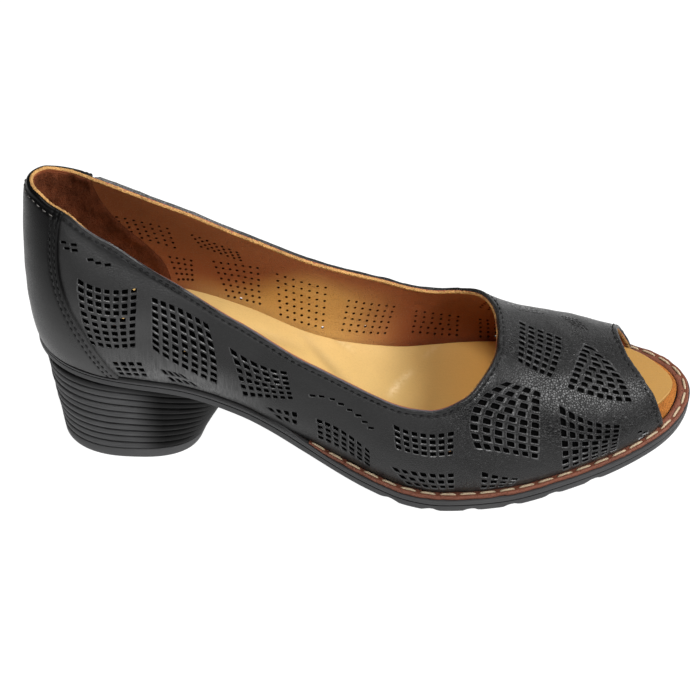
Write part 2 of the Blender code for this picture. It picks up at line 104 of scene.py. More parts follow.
# Sections of the last, as in the part: shares of length, ball width, heights, squareness and bulge
SECTION_COLUMNS = (
    "along", "lateral", "medial", "back", "instep", "square_lateral", "square_medial", "bulge",
)
SECTIONS = (
    (0.000, 0.000, 0.000, 1.27, 0.00, 5.0, 5.0, 0.60),
    (0.015, 0.138, 0.138, 1.14, 0.00, 4.6, 4.6, 0.60),
    (0.054, 0.252, 0.248, 0.99, 0.00, 4.0, 4.2, 0.65),
    (0.116, 0.315, 0.308, 0.70, 0.27, 3.5, 3.8, 0.70),
    (0.208, 0.322, 0.318, 0.35, 0.65, 3.5, 3.6, 0.70),
    (0.312, 0.346, 0.296, 0.15, 0.94, 3.8, 3.8, 0.55),
    (0.416, 0.412, 0.288, 0.05, 1.18, 4.0, 4.0, 0.50),
    (0.520, 0.500, 0.360, 0.00, 1.27, 3.6, 3.6, 0.60),
    (0.615, 0.540, 0.448, 0.00, 1.17, 3.0, 3.0, 0.70),
    (0.715, 0.503, 0.482, 0.00, 0.90, 2.5, 2.5, 0.75),
    (0.802, 0.430, 0.478, 0.00, 0.69, 2.4, 2.4, 0.75),
    (0.873, 0.345, 0.438, 0.00, 0.53, 2.3, 2.3, 0.70),
    (0.931, 0.245, 0.366, 0.00, 0.42, 2.3, 2.3, 0.50),
    (0.977, 0.115, 0.250, 0.00, 0.30, 2.3, 2.3, 0.40),
    (1.000, 0.000, 0.000, 0.00, 0.26, 2.3, 2.3, 0.30),
)
BOTTOM_COLUMNS = ("along", "rise", "spring", "thick")
BOTTOM = (
    (0.00, 1.000, 0.00, 0.64),
    (0.10, 0.968, 0.00, 0.64),
    (0.21, 0.882, 0.00, 0.68),
    (0.31, 0.696, 0.00, 0.77),
    (0.41, 0.398, 0.00, 0.88),
    (0.51, 0.150, 0.00, 0.95),
    (0.57, 0.035, 0.00, 0.98),
    (0.62, 0.000, 0.00, 1.00),
    (0.71, 0.000, 0.00, 1.00),
    (0.83, 0.000, 0.33, 1.00),
    (0.93, 0.000, 0.68, 0.96),
    (1.02, 0.000, 1.03, 0.91),
)
TOPLINE_COLUMNS = ("along", "lateral", "medial")
TOPLINE = (
    (0.000, 0.790, 0.790),
    (0.015, 0.866, 0.853),
    (0.054, 0.932, 0.893),
    (0.116, 0.934, 0.895),
    (0.208, 0.860, 0.860),
    (0.312, 0.725, 0.757),
    (0.416, 0.653, 0.712),
    (0.520, 0.654, 0.668),
    (0.595, 0.690, 0.610),
    (0.649, 0.800, 0.715),
    (0.682, 0.935, 0.890),
    (0.700, 1.000, 1.000),
)
PEEP_EDGE = (
    (-1.00, 0.965), (-0.75, 0.958), (-0.50, 0.946), (-0.25, 0.924), (0.00, 0.902), (0.30, 0.893),
    (0.60, 0.901), (1.00, 0.928),
)
COUNTER_SEAM = ((0.00, 0.130), (0.25, 0.098), (0.60, 0.054), (1.00, 0.040))

# Groups of cut-outs. Each is a bent grid of cells between four corners, given as station and
# around: around is 0 at the outer feather line, 1 at the crest and 2 at the inner feather line.
# cells_top and cells_low are how many cells the first and last rows have, the sags bend the top and
# bottom edges around the section, and the bulges bend the back and front edges along the shoe. The
# sags and bulges of a straight group are left out.
GROUP_COLUMNS = (
    "rows", "cells_top", "cells_low", "top_back", "top_front", "low_front", "low_back",
    "top_sag", "low_sag", "back_bulge", "front_bulge",
)
OUTER_GROUPS = (
    (9, 7, 6, (0.111, 0.400), (0.193, 0.462), (0.188, 0.196), (0.128, 0.150),
     -0.02, -0.01, -0.004, 0.0),
    (8, 7, 7, (0.208, 0.435), (0.283, 0.385), (0.292, 0.080), (0.207, 0.205),
     0.01, -0.02, 0.0, 0.006),
    (3, 4, 4, (0.152, 0.098), (0.194, 0.128), (0.200, 0.026), (0.160, 0.004)),
    (2, 4, 4, (0.215, 0.108), (0.244, 0.096), (0.270, 0.016), (0.230, 0.006)),
    (6, 6, 7, (0.307, 0.318), (0.387, 0.318), (0.396, 0.196), (0.325, 0.062),
     -0.03, 0.0, 0.002, 0.0),
    (2, 4, 3, (0.354, 0.070), (0.401, 0.146), (0.401, 0.052), (0.374, 0.024)),
    (4, 7, 7, (0.425, 0.164), (0.503, 0.138), (0.504, 0.028), (0.427, 0.040),
     0.025, 0.020, 0.0, 0.0),
    (4, 7, 7, (0.530, 0.322), (0.617, 0.370), (0.618, 0.252), (0.536, 0.212),
     -0.018, -0.012, 0.0, 0.0),
    (3, 7, 6, (0.528, 0.110), (0.621, 0.160), (0.623, 0.030), (0.556, 0.012)),
    (9, 4, 7, (0.685, 0.668), (0.735, 0.632), (0.735, 0.222), (0.645, 0.292),
     0.01, 0.02, -0.028, 0.0),
    (3, 4, 4, (0.654, 0.182), (0.712, 0.100), (0.702, 0.016), (0.656, 0.020)),
    (8, 5, 5, (0.703, 1.170), (0.766, 1.060), (0.748, 0.711), (0.699, 0.803), 0.0, 0.0, 0.0, 0.006),
    (9, 1, 7, (0.795, 1.040), (0.813, 1.010), (0.870, 0.500), (0.768, 0.655), 0.0, 0.0, 0.0, 0.010),
    (7, 7, 6, (0.757, 0.568), (0.852, 0.345), (0.850, 0.080), (0.769, 0.040),
     -0.02, 0.02, 0.0, 0.0),
)
INNER_GROUPS = (
    (3, 5, 6, (0.684, 1.360), (0.722, 1.400), (0.745, 1.310), (0.706, 1.285)),
    (4, 5, 4, (0.764, 1.350), (0.790, 1.360), (0.808, 1.190), (0.782, 1.225)),
    (5, 7, 7, (0.138, 1.650), (0.218, 1.640), (0.228, 1.775), (0.150, 1.750)),
    (4, 7, 7, (0.240, 1.640), (0.312, 1.668), (0.318, 1.722), (0.256, 1.720)),
    (5, 4, 4, (0.207, 1.812), (0.248, 1.800), (0.246, 1.940), (0.222, 1.960)),
    (7, 7, 6, (0.268, 1.770), (0.341, 1.705), (0.342, 1.950), (0.290, 1.975)),
    (7, 7, 7, (0.357, 1.700), (0.436, 1.690), (0.430, 1.955), (0.362, 1.965)),
    (6, 7, 7, (0.458, 1.740), (0.535, 1.745), (0.520, 1.935), (0.448, 1.945)),
    (5, 6, 7, (0.556, 1.760), (0.631, 1.800), (0.630, 1.960), (0.552, 1.920)),
    (5, 5, 5, (0.652, 1.800), (0.708, 1.800), (0.712, 1.960), (0.655, 1.970)),
    (7, 5, 7, (0.665, 1.500), (0.735, 1.480), (0.735, 1.740), (0.650, 1.700)),
    (8, 6, 6, (0.764, 1.470), (0.850, 1.560), (0.862, 1.900), (0.770, 1.930)),
)
SINGLE_CELLS = (
    (0.087, 0.477), (0.101, 0.500), (0.093, 0.468), (0.104, 0.484), (0.127, 0.490), (0.138, 0.494),
    (0.151, 0.506), (0.421, 0.264), (0.433, 0.280), (0.448, 0.293), (0.460, 0.292), (0.472, 0.286),
    (0.484, 0.282), (0.493, 0.268), (0.502, 0.255), (0.884, 0.180), (0.893, 0.130), (0.886, 0.080),
)
CELL_PITCH = 0.0034         # of a single cell
# How a cut-out narrows from above the leather to below it: lift over the leather, share of the cell
CELL_WALL = (
    (0.0007, 0.965), (0.00012, 0.94), (-0.00006, 0.84), (-0.00022, 0.73), (-0.00045, 0.65),
    (-0.00085, 0.59), (-0.0014, 0.57),
)
PINHOLE_SIZE = 0.00060      # radius
PINHOLES_THROUGH = 0.03     # share of the pinholes that are open to the cut-outs

INNER_SEAM_LEAN = 0.036     # how much further forward the counter's inner seam ends, at the topline
# The heel grip's front edge: share of a quarter turn up the wall, and station
GRIP_EDGE = (
    (0.00, 0.216), (0.10, 0.210), (0.17, 0.202), (0.22, 0.190), (0.27, 0.174), (0.33, 0.152),
    (0.40, 0.134), (0.48, 0.120), (0.60, 0.108), (1.00, 0.100),
)

SEED = 7
SEAM_MARGIN = 0.004         # stations between the counter's seams and what stops short of them
# Columns to the throat, columns ahead of it, and rows
UPPER_GRID = (96, 46, 46)
LINING_GRID = (70, 30, 30)
EDGE_POINTS = {"topline": 900, "peep": 260}
SOCK_TORN = 0.00004         # depth of the sock's ragged front edge
RAGGED_WELT = 0.0003

FOLD_RADIUS = 0.00055       # of a folded leather edge
SWELL_AT = 0.0009           # from a folded edge
SWELL_WIDTH = 0.0006
TROUGH_WIDTH = 0.00042
BEAD_RADIUS = 0.00042
LINING_GAP = 0.00006        # between the leather and the lining
GRIP_GAP = 0.00004          # between the lining and the heel grip
COUNTER_GAP = 0.00005       # between the leather and the counter
CUT_SIZE = (-0.12, 0.01)    # least and most that a cut-out differs from its cell
CUT_SHIFT = 0.02            # of a cut-out, as a share of its arms
CUT_CORNER = 0.95           # how far its corners reach out
SINGLE_HALF = 0.54          # half length of a single cut-out, as a share of the pitch
SINGLE_SLIT = 0.40          # its width as a share of its length
PINHOLE_INSIDE = -0.0026    # lift of its open end
PINHOLE_BLIND = -0.00125    # lift of its blind end
PINHOLE_OPEN = -0.0007      # the same, where it goes through
HEEL_GROOVE_DEPTH = 0.0011
HEEL_LAYER_SHIFT = 0.00012
HEEL_CORNERS = 180
WHITE = (1.0, 1.0, 1.0, 1.0)
BLACK = (0.0015, 0.0015, 0.0015, 1.0)

SEAM_ROWS = (0.0013, 0.0031)    # stitch rows behind the counter's front edge
EDGE_TAPER = 0.00095            # of the leather under the counter's top edge

# Start x, y, end x, y on the sock from the back of the last, half width, height
SOCK_CREASES = (
    (0.1295, 0.001, 0.1380, 0.021, 0.0016, 0.00030),
    (0.0960, 0.016, 0.1150, -0.002, 0.0020, -0.00055),
    (0.1060, 0.022, 0.1120, 0.019, 0.0018, -0.00040),
    (0.1400, 0.022, 0.1470, 0.032, 0.0018, 0.00025),
    (0.0700, 0.008, 0.0950, 0.010, 0.0026, -0.00038),
    (0.1650, -0.012, 0.1780, 0.010, 0.0022, 0.00020),
    (0.0480, -0.012, 0.0620, 0.014, 0.0030, -0.00025),
)
# The same columns, but the last is the share of the pale colour
SOCK_SCUFFS = (
    (0.1290, 0.001, 0.1325, 0.009, 0.0013, 0.60),
    (0.1325, 0.009, 0.1370, 0.016, 0.0012, 0.40),
    (0.1420, 0.024, 0.1475, 0.032, 0.0010, 0.25),
    (0.1070, 0.022, 0.1140, 0.018, 0.0009, 0.30),
)

# The sole's side from the underside up: share of its height and inset as a share of the groove
SOLE_SIDE = (
    (0.000, 1.80), (0.015, 1.00), (0.05, 0.45), (0.10, 0.10), (0.16, 0.0), (0.50, 0.0),
    (0.545, 0.05), (0.560, 0.80), (0.575, 1.30), (0.615, 1.30), (0.63, 0.80), (0.645, 0.05),
    (0.66, 0.0),
    (0.80, 0.0), (0.83, 0.25), (0.86, 0.7), (0.93, 0.8), (0.97, 0.9), (1.00, 1.10),
)
REAR_GAP = 2.2      # how much further the sole's top draws in behind the welt, in groove depths

# One layer of the stacked heel: share of the layer's height, inset as a share of the groove
HEEL_LAYER = (
    (0.0, 1.0), (0.06, 0.85), (0.12, 0.30), (0.20, 0.06), (0.50, 0.0), (0.80, 0.06), (0.88, 0.30),
    (0.94, 0.85),
)


def smoothstep(value, start, end):
    share = np.clip((value - start) / (end - start), 0.0, 1.0)
    return share * share * (3.0 - 2.0 * share)


def table_curve(rows, columns, name):
    """Cubic curve through one named column that never overshoots its rows."""
    places = np.array([row[0] for row in rows], float)
    values = np.array([row[columns.index(name)] for row in rows], float)
    steps = np.diff(places)
    slopes = np.diff(values) / steps
    tangents = np.concatenate([slopes[:1], np.zeros(len(slopes) - 1), slopes[-1:]])
    left = 2.0 * steps[1:] + steps[:-1]
    right = steps[1:] + 2.0 * steps[:-1]
    same_way = slopes[:-1] * slopes[1:] > 0.0
    safe = np.where(same_way, slopes[:-1], 1.0), np.where(same_way, slopes[1:], 1.0)
    tangents[1:-1] = np.where(same_way, (left + right) / (left / safe[0] + right / safe[1]), 0.0)

    def curve(at):
        at = np.clip(at, places[0], places[-1])
        i = np.clip(np.searchsorted(places, at, side="right") - 1, 0, len(steps) - 1)
        t = (at - places[i]) / steps[i]
        rest = 1.0 - t
        return (
            values[i] * (1.0 + 2.0 * t) * rest**2
            + values[i + 1] * (3.0 - 2.0 * t) * t**2
            + steps[i] * (tangents[i] * t * rest**2 - tangents[i + 1] * t**2 * rest)
        )

    return curve


def closed_spline(knots, values, period):
    """Cubic spline through rows of values that closes on itself after one period."""
    count = len(knots)
    steps = np.diff(np.append(knots, knots[0] + period))
    slopes = (np.roll(values, -1, axis=0) - values) / steps[:, None]
    rows = np.arange(count)
    system = np.zeros((count, count))
    before = np.roll(steps, 1)
    system[rows, rows - 1] += before
    system[rows, rows] += 2.0 * (before + steps)
    system[rows, (rows + 1) % count] += steps
    bends = np.linalg.solve(system, 6.0 * (slopes - np.roll(slopes, 1, axis=0)))

    def curve(at):
        at = np.mod(np.asarray(at, float) - knots[0], period) + knots[0]
        i = np.searchsorted(knots, at, side="right") - 1
        j = (i + 1) % count
        step = steps[i][..., None]
        right = (at - knots[i])[..., None] / step
        left = 1.0 - right
        bend = (left**3 - left) * bends[i] + (right**3 - right) * bends[j]
        return left * values[i] + right * values[j] + bend * step**2 / 6.0

    return curve


def build_last():
    """Spline round the feather line: 0 is the heel's back, 1 the toe's tip, minus is medial.

    Its columns are x, y, crest height, squareness and bulge.
    """
    rows = [dict(zip(SECTION_COLUMNS, row)) for row in SECTIONS]
    sides = []
    for side, sign in (("lateral", -1.0), ("medial", 1.0)):
        sides.append([
            (
                row["along"] * LAST_LENGTH,
                sign * row[side] * BALL_WIDTH,
                row["back"] * BACK_HEIGHT + row["instep"] * INSTEP_HEIGHT,
                row["square_" + side],
                row["bulge"] * SIDE_BULGE,
            )
            for row in rows
        ])
    lateral, medial = np.array(sides)
    lateral[-1, 1] = medial[-1, 1] = TIP_OFFSET
    lateral_steps = np.hypot(*np.diff(lateral[:, :2], axis=0).T)
    medial_steps = np.hypot(*np.diff(medial[:, :2], axis=0).T)
    knots = np.append(0.0, np.cumsum(lateral_steps + medial_steps))
    knots /= knots[-1]
    loop_knots = np.concatenate([knots, 2.0 - knots[-2:0:-1]])
    return closed_spline(loop_knots, np.concatenate([lateral, medial[-2:0:-1]]), 2.0)


LAST = build_last()
UNDERSIDE_RISE = table_curve(BOTTOM, BOTTOM_COLUMNS, "rise")
UNDERSIDE_SPRING = table_curve(BOTTOM, BOTTOM_COLUMNS, "spring")
SOLE_BUILD = table_curve(BOTTOM, BOTTOM_COLUMNS, "thick")
TOPLINE_LATERAL = table_curve(TOPLINE, TOPLINE_COLUMNS, "lateral")
TOPLINE_MEDIAL = table_curve(TOPLINE, TOPLINE_COLUMNS, "medial")
PEEP_REACH = table_curve(PEEP_EDGE, ("around", "along"), "along")
SEAM_REACH = table_curve(COUNTER_SEAM, ("up", "along"), "along")
GRIP_REACH = table_curve(GRIP_EDGE, ("up", "along"), "along")
HEEL_CENTRE = HEEL_BASE_BACK + HEEL_BASE_LENGTH / 2


def underside(x):
    along = x / LAST_LENGTH
    return UNDERSIDE_RISE(along) * HEEL_RISE + UNDERSIDE_SPRING(along) * TOE_SPRING


def feather_height(x):
    return underside(x) + SOLE_BUILD(x / LAST_LENGTH) * SOLE_THICKNESS


def outsole_top(x):
    """The outsole carries the upper directly behind the welt's ends, and the welt ahead of them."""
    welted = smoothstep(x, WELT_START - WELT_RUN_IN / 2, WELT_START + WELT_RUN_IN / 2)
    return feather_height(x) - MEETING_GAP - welted * (WELT_THICKNESS + MEETING_GAP)


def station_at(x):
    """Station on the lateral side, 0 to 1, where the feather line reaches this far forward."""
    stations = np.linspace(0.0, 1.0, 801)
    return np.interp(x, LAST(stations)[:, 0], stations)


THROAT_X = TOPLINE[-1][0] * LAST_LENGTH
THROAT = float(station_at(THROAT_X))


def topline_angle(station):
    """Section angle at which the wall ends: the topline behind the throat, else the crest."""
    own = LAST(station)
    along = own[..., 0] / LAST_LENGTH
    share = np.where(station < 0.0, TOPLINE_MEDIAL(along), TOPLINE_LATERAL(along))
    square = own[..., 3]
    across = np.maximum(1.0 - share**square, 0.0) ** (1.0 / square)
    return np.arctan2(share, across)


def last_surface(station, angle):
    """Point of the upper's outside.

    Each section is half a superellipse from the feather line, at angle 0, to the crest, at a right
    angle, with a bulge low on its wall. Sections turn about the heel's axis and then run parallel.
    """
    own = LAST(station)
    other = LAST(-station)
    foot = own[..., :2]
    x = foot[..., 0]
    past_pivot = x - HEEL_PIVOT
    crest = np.empty_like(foot)
    crest[..., 0] = HEEL_PIVOT + (past_pivot + np.sqrt(past_pivot**2 + PIVOT_SOFTNESS**2)) / 2
    crest[..., 1] = (foot[..., 1] + other[..., 1]) / 2 + CREST_SHIFT * np.clip(x / THROAT_X, 0, 1)
    inward = crest - foot
    reach = np.linalg.norm(inward, axis=-1)
    square = own[..., 3]
    cosine = np.maximum(np.cos(angle), 0.0)
    sine = np.sin(angle)
    radius = (cosine**square + sine**square) ** (-1.0 / square)
    up = radius * sine
    bulge = own[..., 4] * up * (1.0 - up) ** 3 / (BULGE_AT * (1.0 - BULGE_AT) ** 3)
    travel = reach * (1.0 - radius * cosine) - bulge
    point = np.empty(foot.shape[:-1] + (3,))
    point[..., :2] = foot + inward * (travel / reach)[..., None]
    point[..., 2] = feather_height(x) + (own[..., 2] + other[..., 2]) / 2 * up
    return point


def rounded(distance, radius):
    """Quarter circle: 1 at an edge, and 0 from one radius on."""
    near = np.clip(distance / radius, 0.0, 1.0)
    return 1.0 - np.sqrt(1.0 - (1.0 - near) ** 2)


def bell(distance, width):
    """Gauss bell: 1 at no distance, and fading over the width."""
    return np.exp(-((distance / width) ** 2))


def lengths(points):
    """How far along a path each of its points lies."""
    return np.append(0.0, np.cumsum(np.linalg.norm(np.diff(points, axis=0), axis=1)))


def unit(vectors):
    return vectors / np.maximum(np.linalg.norm(vectors, axis=-1, keepdims=True), 1e-12)


def skin_slopes(station, angle):
    """How the surface moves for a step of station and of angle."""
    step = SMALL_STEP
    inside = np.clip(angle, step, np.pi / 2 - step)
    along = last_surface(station + step, inside) - last_surface(station - step, inside)
    around = last_surface(station, inside + step) - last_surface(station, inside - step)
    return along / (2 * step), around / (2 * step)


def skin_normal(station, angle):
    along, around = skin_slopes(station, angle)
    return unit(np.cross(along, around))


def skin_lists(station, angle):
    """Points and normals of the last's surface, as two plain lists."""
    return last_surface(station, angle).reshape(-1, 3), skin_normal(station, angle).reshape(-1, 3)


def skin(station, angle, lift):
    """The last's surface, moved out along its normals."""
    return last_surface(station, angle) + np.asarray(lift)[..., None] * skin_normal(station, angle)


def walk(station, angle, move):
    """Station and angle after moving a short way over the surface: three least-squares steps."""
    goal = last_surface(station, angle) + move
    for _ in range(3):
        along, around = skin_slopes(station, angle)
        rest = goal - last_surface(station, angle)
        aa = (along * along).sum(-1)
        bb = (around * around).sum(-1)
        ab = (along * around).sum(-1)
        ra = (rest * along).sum(-1)
        rb = (rest * around).sum(-1)
        area = aa * bb - ab * ab
        station = station + (ra * bb - rb * ab) / area
        angle = np.clip(angle + (rb * aa - ra * ab) / area, 0.0, np.pi / 2)
    return station, angle


def outline(station, out):
    """The feather line in plan, moved outwards."""
    step = SMALL_STEP
    along = unit((LAST(station + step) - LAST(station - step))[..., :2])
    normal = np.stack([along[..., 1], -along[..., 0]], axis=-1)
    return LAST(station)[..., :2] + np.asarray(out)[..., None] * normal


def sole_margin(x):
    grown = smoothstep(x, MARGIN_START, MARGIN_END)
    return REAR_MARGIN + (FORE_MARGIN - REAR_MARGIN) * grown


def eased(count, mix):
    """Shares from 0 to 1 that crowd towards both ends."""
    share = np.linspace(0.0, 1.0, count + 1)
    return (1.0 - mix) * share + mix * smoothstep(share, 0.0, 1.0)


def place(points):
    """Points measured from the back of the last, moved to the shoe's own origin."""
    return np.asarray(points) - (HEEL_CENTRE, 0.0, 0.0)


# Making of meshes

def numbered(shape):
    """Corner numbers of a grid."""
    return np.arange(np.prod(shape)).reshape(shape)


def grid_quads(index):
    """Corner numbers of a grid's quads, facing the side that columns x rows points to."""
    corners = (index[:-1, :-1], index[1:, :-1], index[1:, 1:], index[:-1, 1:])
    return np.stack(corners, axis=-1).reshape(-1, 4)


def shell(outer, inner, quads):
    """Two matching sheets of points as one closed body: the inner sheet is turned round, and each
    open edge of the outer one gets a quad that joins it to the inner one."""
    count = len(outer)
    starts = quads.reshape(-1)
    ends = np.roll(quads, -1, axis=1).reshape(-1)
    open_edges = ~np.isin(starts * count + ends, ends * count + starts)
    a, b = starts[open_edges], ends[open_edges]
    rim = np.column_stack([b, a, a + count, b + count])
    return np.concatenate([outer, inner]), np.concatenate([quads, quads[:, ::-1] + count, rim])


def used_only(points, quads, *others):
    """Drops points that no quad uses."""
    used, quads_new = np.unique(quads, return_inverse=True)
    return (points[used], quads_new.reshape(quads.shape)) + tuple(other[used] for other in others)


def tubes(points, downwards=False):
    """Closed bodies with flat ends, from points in an array of (bodies, rings, sides, 3). The rings
    of a body run up, or down."""
    bodies, rings, sides = points.shape[:3]
    index = numbered((rings, sides))
    closed = np.concatenate([index, index[:, :1]], axis=1)
    quads = grid_quads(closed if downwards else closed.T)
    ends = (index[0], index[-1][::-1]) if downwards else (index[0][::-1], index[-1])
    steps = (np.arange(bodies) * rings * sides)[:, None, None]
    faces = [(quads[None] + steps).reshape(-1, 4)]
    faces += [(end[None, None] + steps).reshape(-1, sides) for end in ends]
    return points.reshape(-1, 3), faces


def carried(rails, closed=False):
    """A profile carried along a path, from points in an array of (profile, path, 3). The ends are
    flat if the path isn't closed."""
    index = numbered(rails.shape[:2])
    whole = np.concatenate([index, index[:1]])
    if closed:
        whole = np.concatenate([whole, whole[:, :1]], axis=1)
        return rails.reshape(-1, 3), [grid_quads(whole.T)]
    return rails.reshape(-1, 3), [grid_quads(whole.T), index[:, 0][None], index[::-1, -1][None]]


def new_object(name, data):
    thing = bpy.data.objects.new(name, data)
    bpy.context.scene.collection.objects.link(thing)
    return thing


def new_mesh(name, points, faces):
    """Mesh from an array of points and an array, or a list of arrays, of faces."""
    mesh = bpy.data.meshes.new(name)
    groups = faces if isinstance(faces, list) else [faces]
    corners = np.concatenate([group.reshape(-1) for group in groups])
    sizes = np.concatenate([np.full(len(group), group.shape[1]) for group in groups])
    mesh.vertices.add(len(points))
    mesh.vertices.foreach_set("co", place(points).astype(np.float32).ravel())
    mesh.loops.add(len(corners))
    mesh.loops.foreach_set("vertex_index", corners.astype(np.int32))
    mesh.polygons.add(len(sizes))
    starts = np.concatenate([[0], np.cumsum(sizes)[:-1]])
    mesh.polygons.foreach_set("loop_start", starts.astype(np.int32))
    mesh.polygons.foreach_set("use_smooth", np.ones(len(sizes), bool))
    mesh.update(calc_edges=True)
    mesh.validate()
    return mesh


def new_piece(name, points, faces, finish, slot, crisp=0.7, **marks):
    """Object of one finish that rides on the shoe; edges sharper than crisp radians stay sharp.
    Each mark is a number for every point, which the finish can read."""
    mesh = new_mesh(name, points, faces)
    for mark, values in marks.items():
        layer = mesh.attributes.new(mark, "FLOAT", "POINT")
        layer.data.foreach_set("value", np.ascontiguousarray(values, np.float32).reshape(-1))
    mesh.set_sharp_from_angle(angle=crisp)
    mesh.materials.append(finish)
    piece = new_object(name, mesh)
    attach(piece, "root")
    return piece


def settle(piece):
    """Puts the result of a piece's modifiers into its mesh, and returns the mesh."""
    depsgraph = bpy.context.evaluated_depsgraph_get()
    mesh = bpy.data.meshes.new_from_object(piece.evaluated_get(depsgraph))
    old = piece.data
    piece.modifiers.clear()
    piece.data = mesh
    bpy.data.meshes.remove(old)
    return mesh


def cut_out(piece, points, faces, crisp, wall_finish):
    """Takes closed bodies out of a piece, then evens its shading across the new faces. The cut's
    walls take the piece's finishes of the given numbers, one for each face of the bodies."""
    mesh = new_mesh("cutter", points, faces)
    for finish in piece.data.materials:
        mesh.materials.append(finish)
    walls = np.zeros(len(mesh.polygons), np.int32) + np.asarray(wall_finish, np.int32)
    mesh.polygons.foreach_set("material_index", walls)
    cutter = new_object("cutter", mesh)
    cut = piece.modifiers.new("cut", "BOOLEAN")
    cut.operation = "DIFFERENCE"
    cut.solver = "MANIFOLD"
    cut.object = cutter
    mesh = settle(piece)
    bpy.data.objects.remove(cutter, do_unlink=True)
    mesh.set_sharp_from_angle(angle=crisp)
    even = piece.modifiers.new("even", "WEIGHTED_NORMAL")
    even.keep_sharp = True
    even.weight = 100
    settle(piece)


def upper_grid(band_columns, vamp_columns, rows):
    """Whole upper as one grid of stations and angles, from the peep edge on the inner side round
    the heel to the peep edge on the outer side. Behind the throat the rows are shares of the
    topline's angle. Ahead of it they are shares of a right angle, and both sides meet in the
    crest."""
    share = 1.0 - (1.0 - np.linspace(0.0, 1.0, rows + 1)) ** 2.2
    reach = eased(band_columns, 0.75) * THROAT
    forward = eased(vamp_columns, 0.9)[1:]
    sides = []
    for side in (-1.0, 1.0):
        band_station = np.broadcast_to((reach * -side)[:, None], (len(reach), len(share)))
        band_angle = share * topline_angle(band_station)
        edge = PEEP_REACH(side * (1.0 - share)) * LAST_LENGTH
        vamp_station = station_at(THROAT_X + forward[:, None] * (edge - THROAT_X)) * -side
        vamp_angle = np.broadcast_to(share * np.pi / 2, vamp_station.shape)
        sides.append((
            np.concatenate([band_station, vamp_station]),
            np.concatenate([band_angle, vamp_angle]),
        ))
    (outer_station, outer_angle), (inner_station, inner_angle) = sides
    station = np.concatenate([inner_station[:0:-1], outer_station])
    angle = np.concatenate([inner_angle[:0:-1], outer_angle])
    index = numbered(station.shape)
    middle = band_columns + vamp_columns
    joined = np.arange(band_columns, middle + 1)
    index[middle - joined, -1] = index[middle + joined, -1]
    return station, angle, index


def edge_path(kind, count):
    """Points at equal steps round the topline (a closed loop) or the peep edge, with the direction
    along it, the surface's normal, and the direction into the leather."""
    closed = kind == "topline"
    if closed:
        station = np.linspace(-THROAT, THROAT, 4001)
        angle = topline_angle(station)
    else:
        around = np.linspace(-1.0, 1.0, 2001)
        side = np.where(around > 0.0, -1.0, 1.0)
        station = station_at(PEEP_REACH(around) * LAST_LENGTH) * side
        angle = (1.0 - np.abs(around)) * np.pi / 2
    points = last_surface(station, angle)
    length = lengths(points)
    steps = np.linspace(0.0, length[-1], count, endpoint=not closed)
    source = np.interp(steps, length, np.arange(len(length)))
    angle = np.interp(source, np.arange(len(length)), angle)
    if closed:
        station = np.interp(source, np.arange(len(length)), station)
        position = last_surface(station, angle)
        along = unit(np.roll(position, -1, axis=0) - np.roll(position, 1, axis=0))
    else:
        near = np.round(source).astype(int)
        station, angle = station[near], (1.0 - np.abs(around[near])) * np.pi / 2
        position = last_surface(station, angle)
        along = unit(np.gradient(position, axis=0))
    normal = skin_normal(station, angle)
    into = np.cross(along, normal) * (1.0 if closed else -1.0)
    return station, angle, position, along, normal, into, length[-1]


def offset_row(kind, inset, pitch, lift):
    """Centres of a stitch row that runs inset from an edge, at a pitch, with their directions."""
    length = edge_path(kind, 8)[-1]
    count = int(round(length / pitch))
    station, angle, _, along, _, into, _ = edge_path(kind, count)
    station, angle = walk(station, angle, into * inset)
    normal = skin_normal(station, angle)
    centre = last_surface(station, angle) + normal * lift
    return station, centre, unit(along), normal


def nearest(points, path, block=2000):
    """Distance from each point to the closest point of a path."""
    found = [
        np.sqrt(((points[i:i + block, None] - path[None]) ** 2).sum(-1).min(1))
        for i in range(0, len(points), block)
    ]
    return np.concatenate(found)


def swept(position, across, up, profile, closed):
    """Profile of (across, up) places carried along a path, with flat ends if it isn't closed."""
    along = np.gradient(position, axis=0)
    if (np.cross(along, across) * up).sum() > 0.0:
        profile = profile[::-1]
    sideways = position[None] + profile[:, :1, None] * across[None]
    return carried(sideways + profile[:, 1:, None] * up[None], closed)


def threads(centre, along, up, length, radius, bow=0.35, sides=6, rings=5):
    """A row of stitches: each is a short rounded rod that dips into the leather at both ends. Along
    the rod the radius follows a flattened arch, and the middle bows up by bow radii."""
    t = np.linspace(-1.0, 1.0, rings)
    turn = 2.0 * np.pi * np.arange(sides) / sides
    girth = radius * (1.0 - 0.75 * t**6)
    x = np.broadcast_to((t * length / 2)[:, None], (rings, sides))
    y = girth[:, None] * np.cos(turn)
    z = girth[:, None] * np.sin(turn) - (bow + 1.0) * radius * (t**4)[:, None] + bow * radius
    across = np.cross(up, along)
    local = np.stack([x, y, z], axis=-1).reshape(-1, 3)
    points = (
        centre[:, None]
        + local[None, :, :1] * along[:, None]
        + local[None, :, 1:2] * across[:, None]
        + local[None, :, 2:] * up[:, None]
    )
    return tubes(points.reshape(-1, rings, sides, 3))


def plate(rings):
    """Closed body from rings of matching points, lowest first. Each ring runs from the heel's back
    along the outer side to the toe and back along the inner side."""
    rings = np.array(rings)
    count = rings.shape[1]
    index = numbered(rings.shape[:2])
    half = count // 2
    j = np.arange(1, half - 1)
    faces = [grid_quads(np.concatenate([index, index[:, :1]], axis=1).T)]
    for ring, way in ((index[0], -1), (index[-1], 1)):
        quads = np.column_stack([ring[j], ring[j + 1], ring[count - j - 1], ring[count - j]])
        ends = ring[[[0, 1, count - 1], [half - 1, half, half + 1]]]
        faces += [quads[:, ::way], ends[:, ::way]]
    return rings.reshape(-1, 3), faces


def ring_stations(count, mix=0.6):
    half = eased(count, mix)
    return np.concatenate([half, -half[-2:0:-1]])


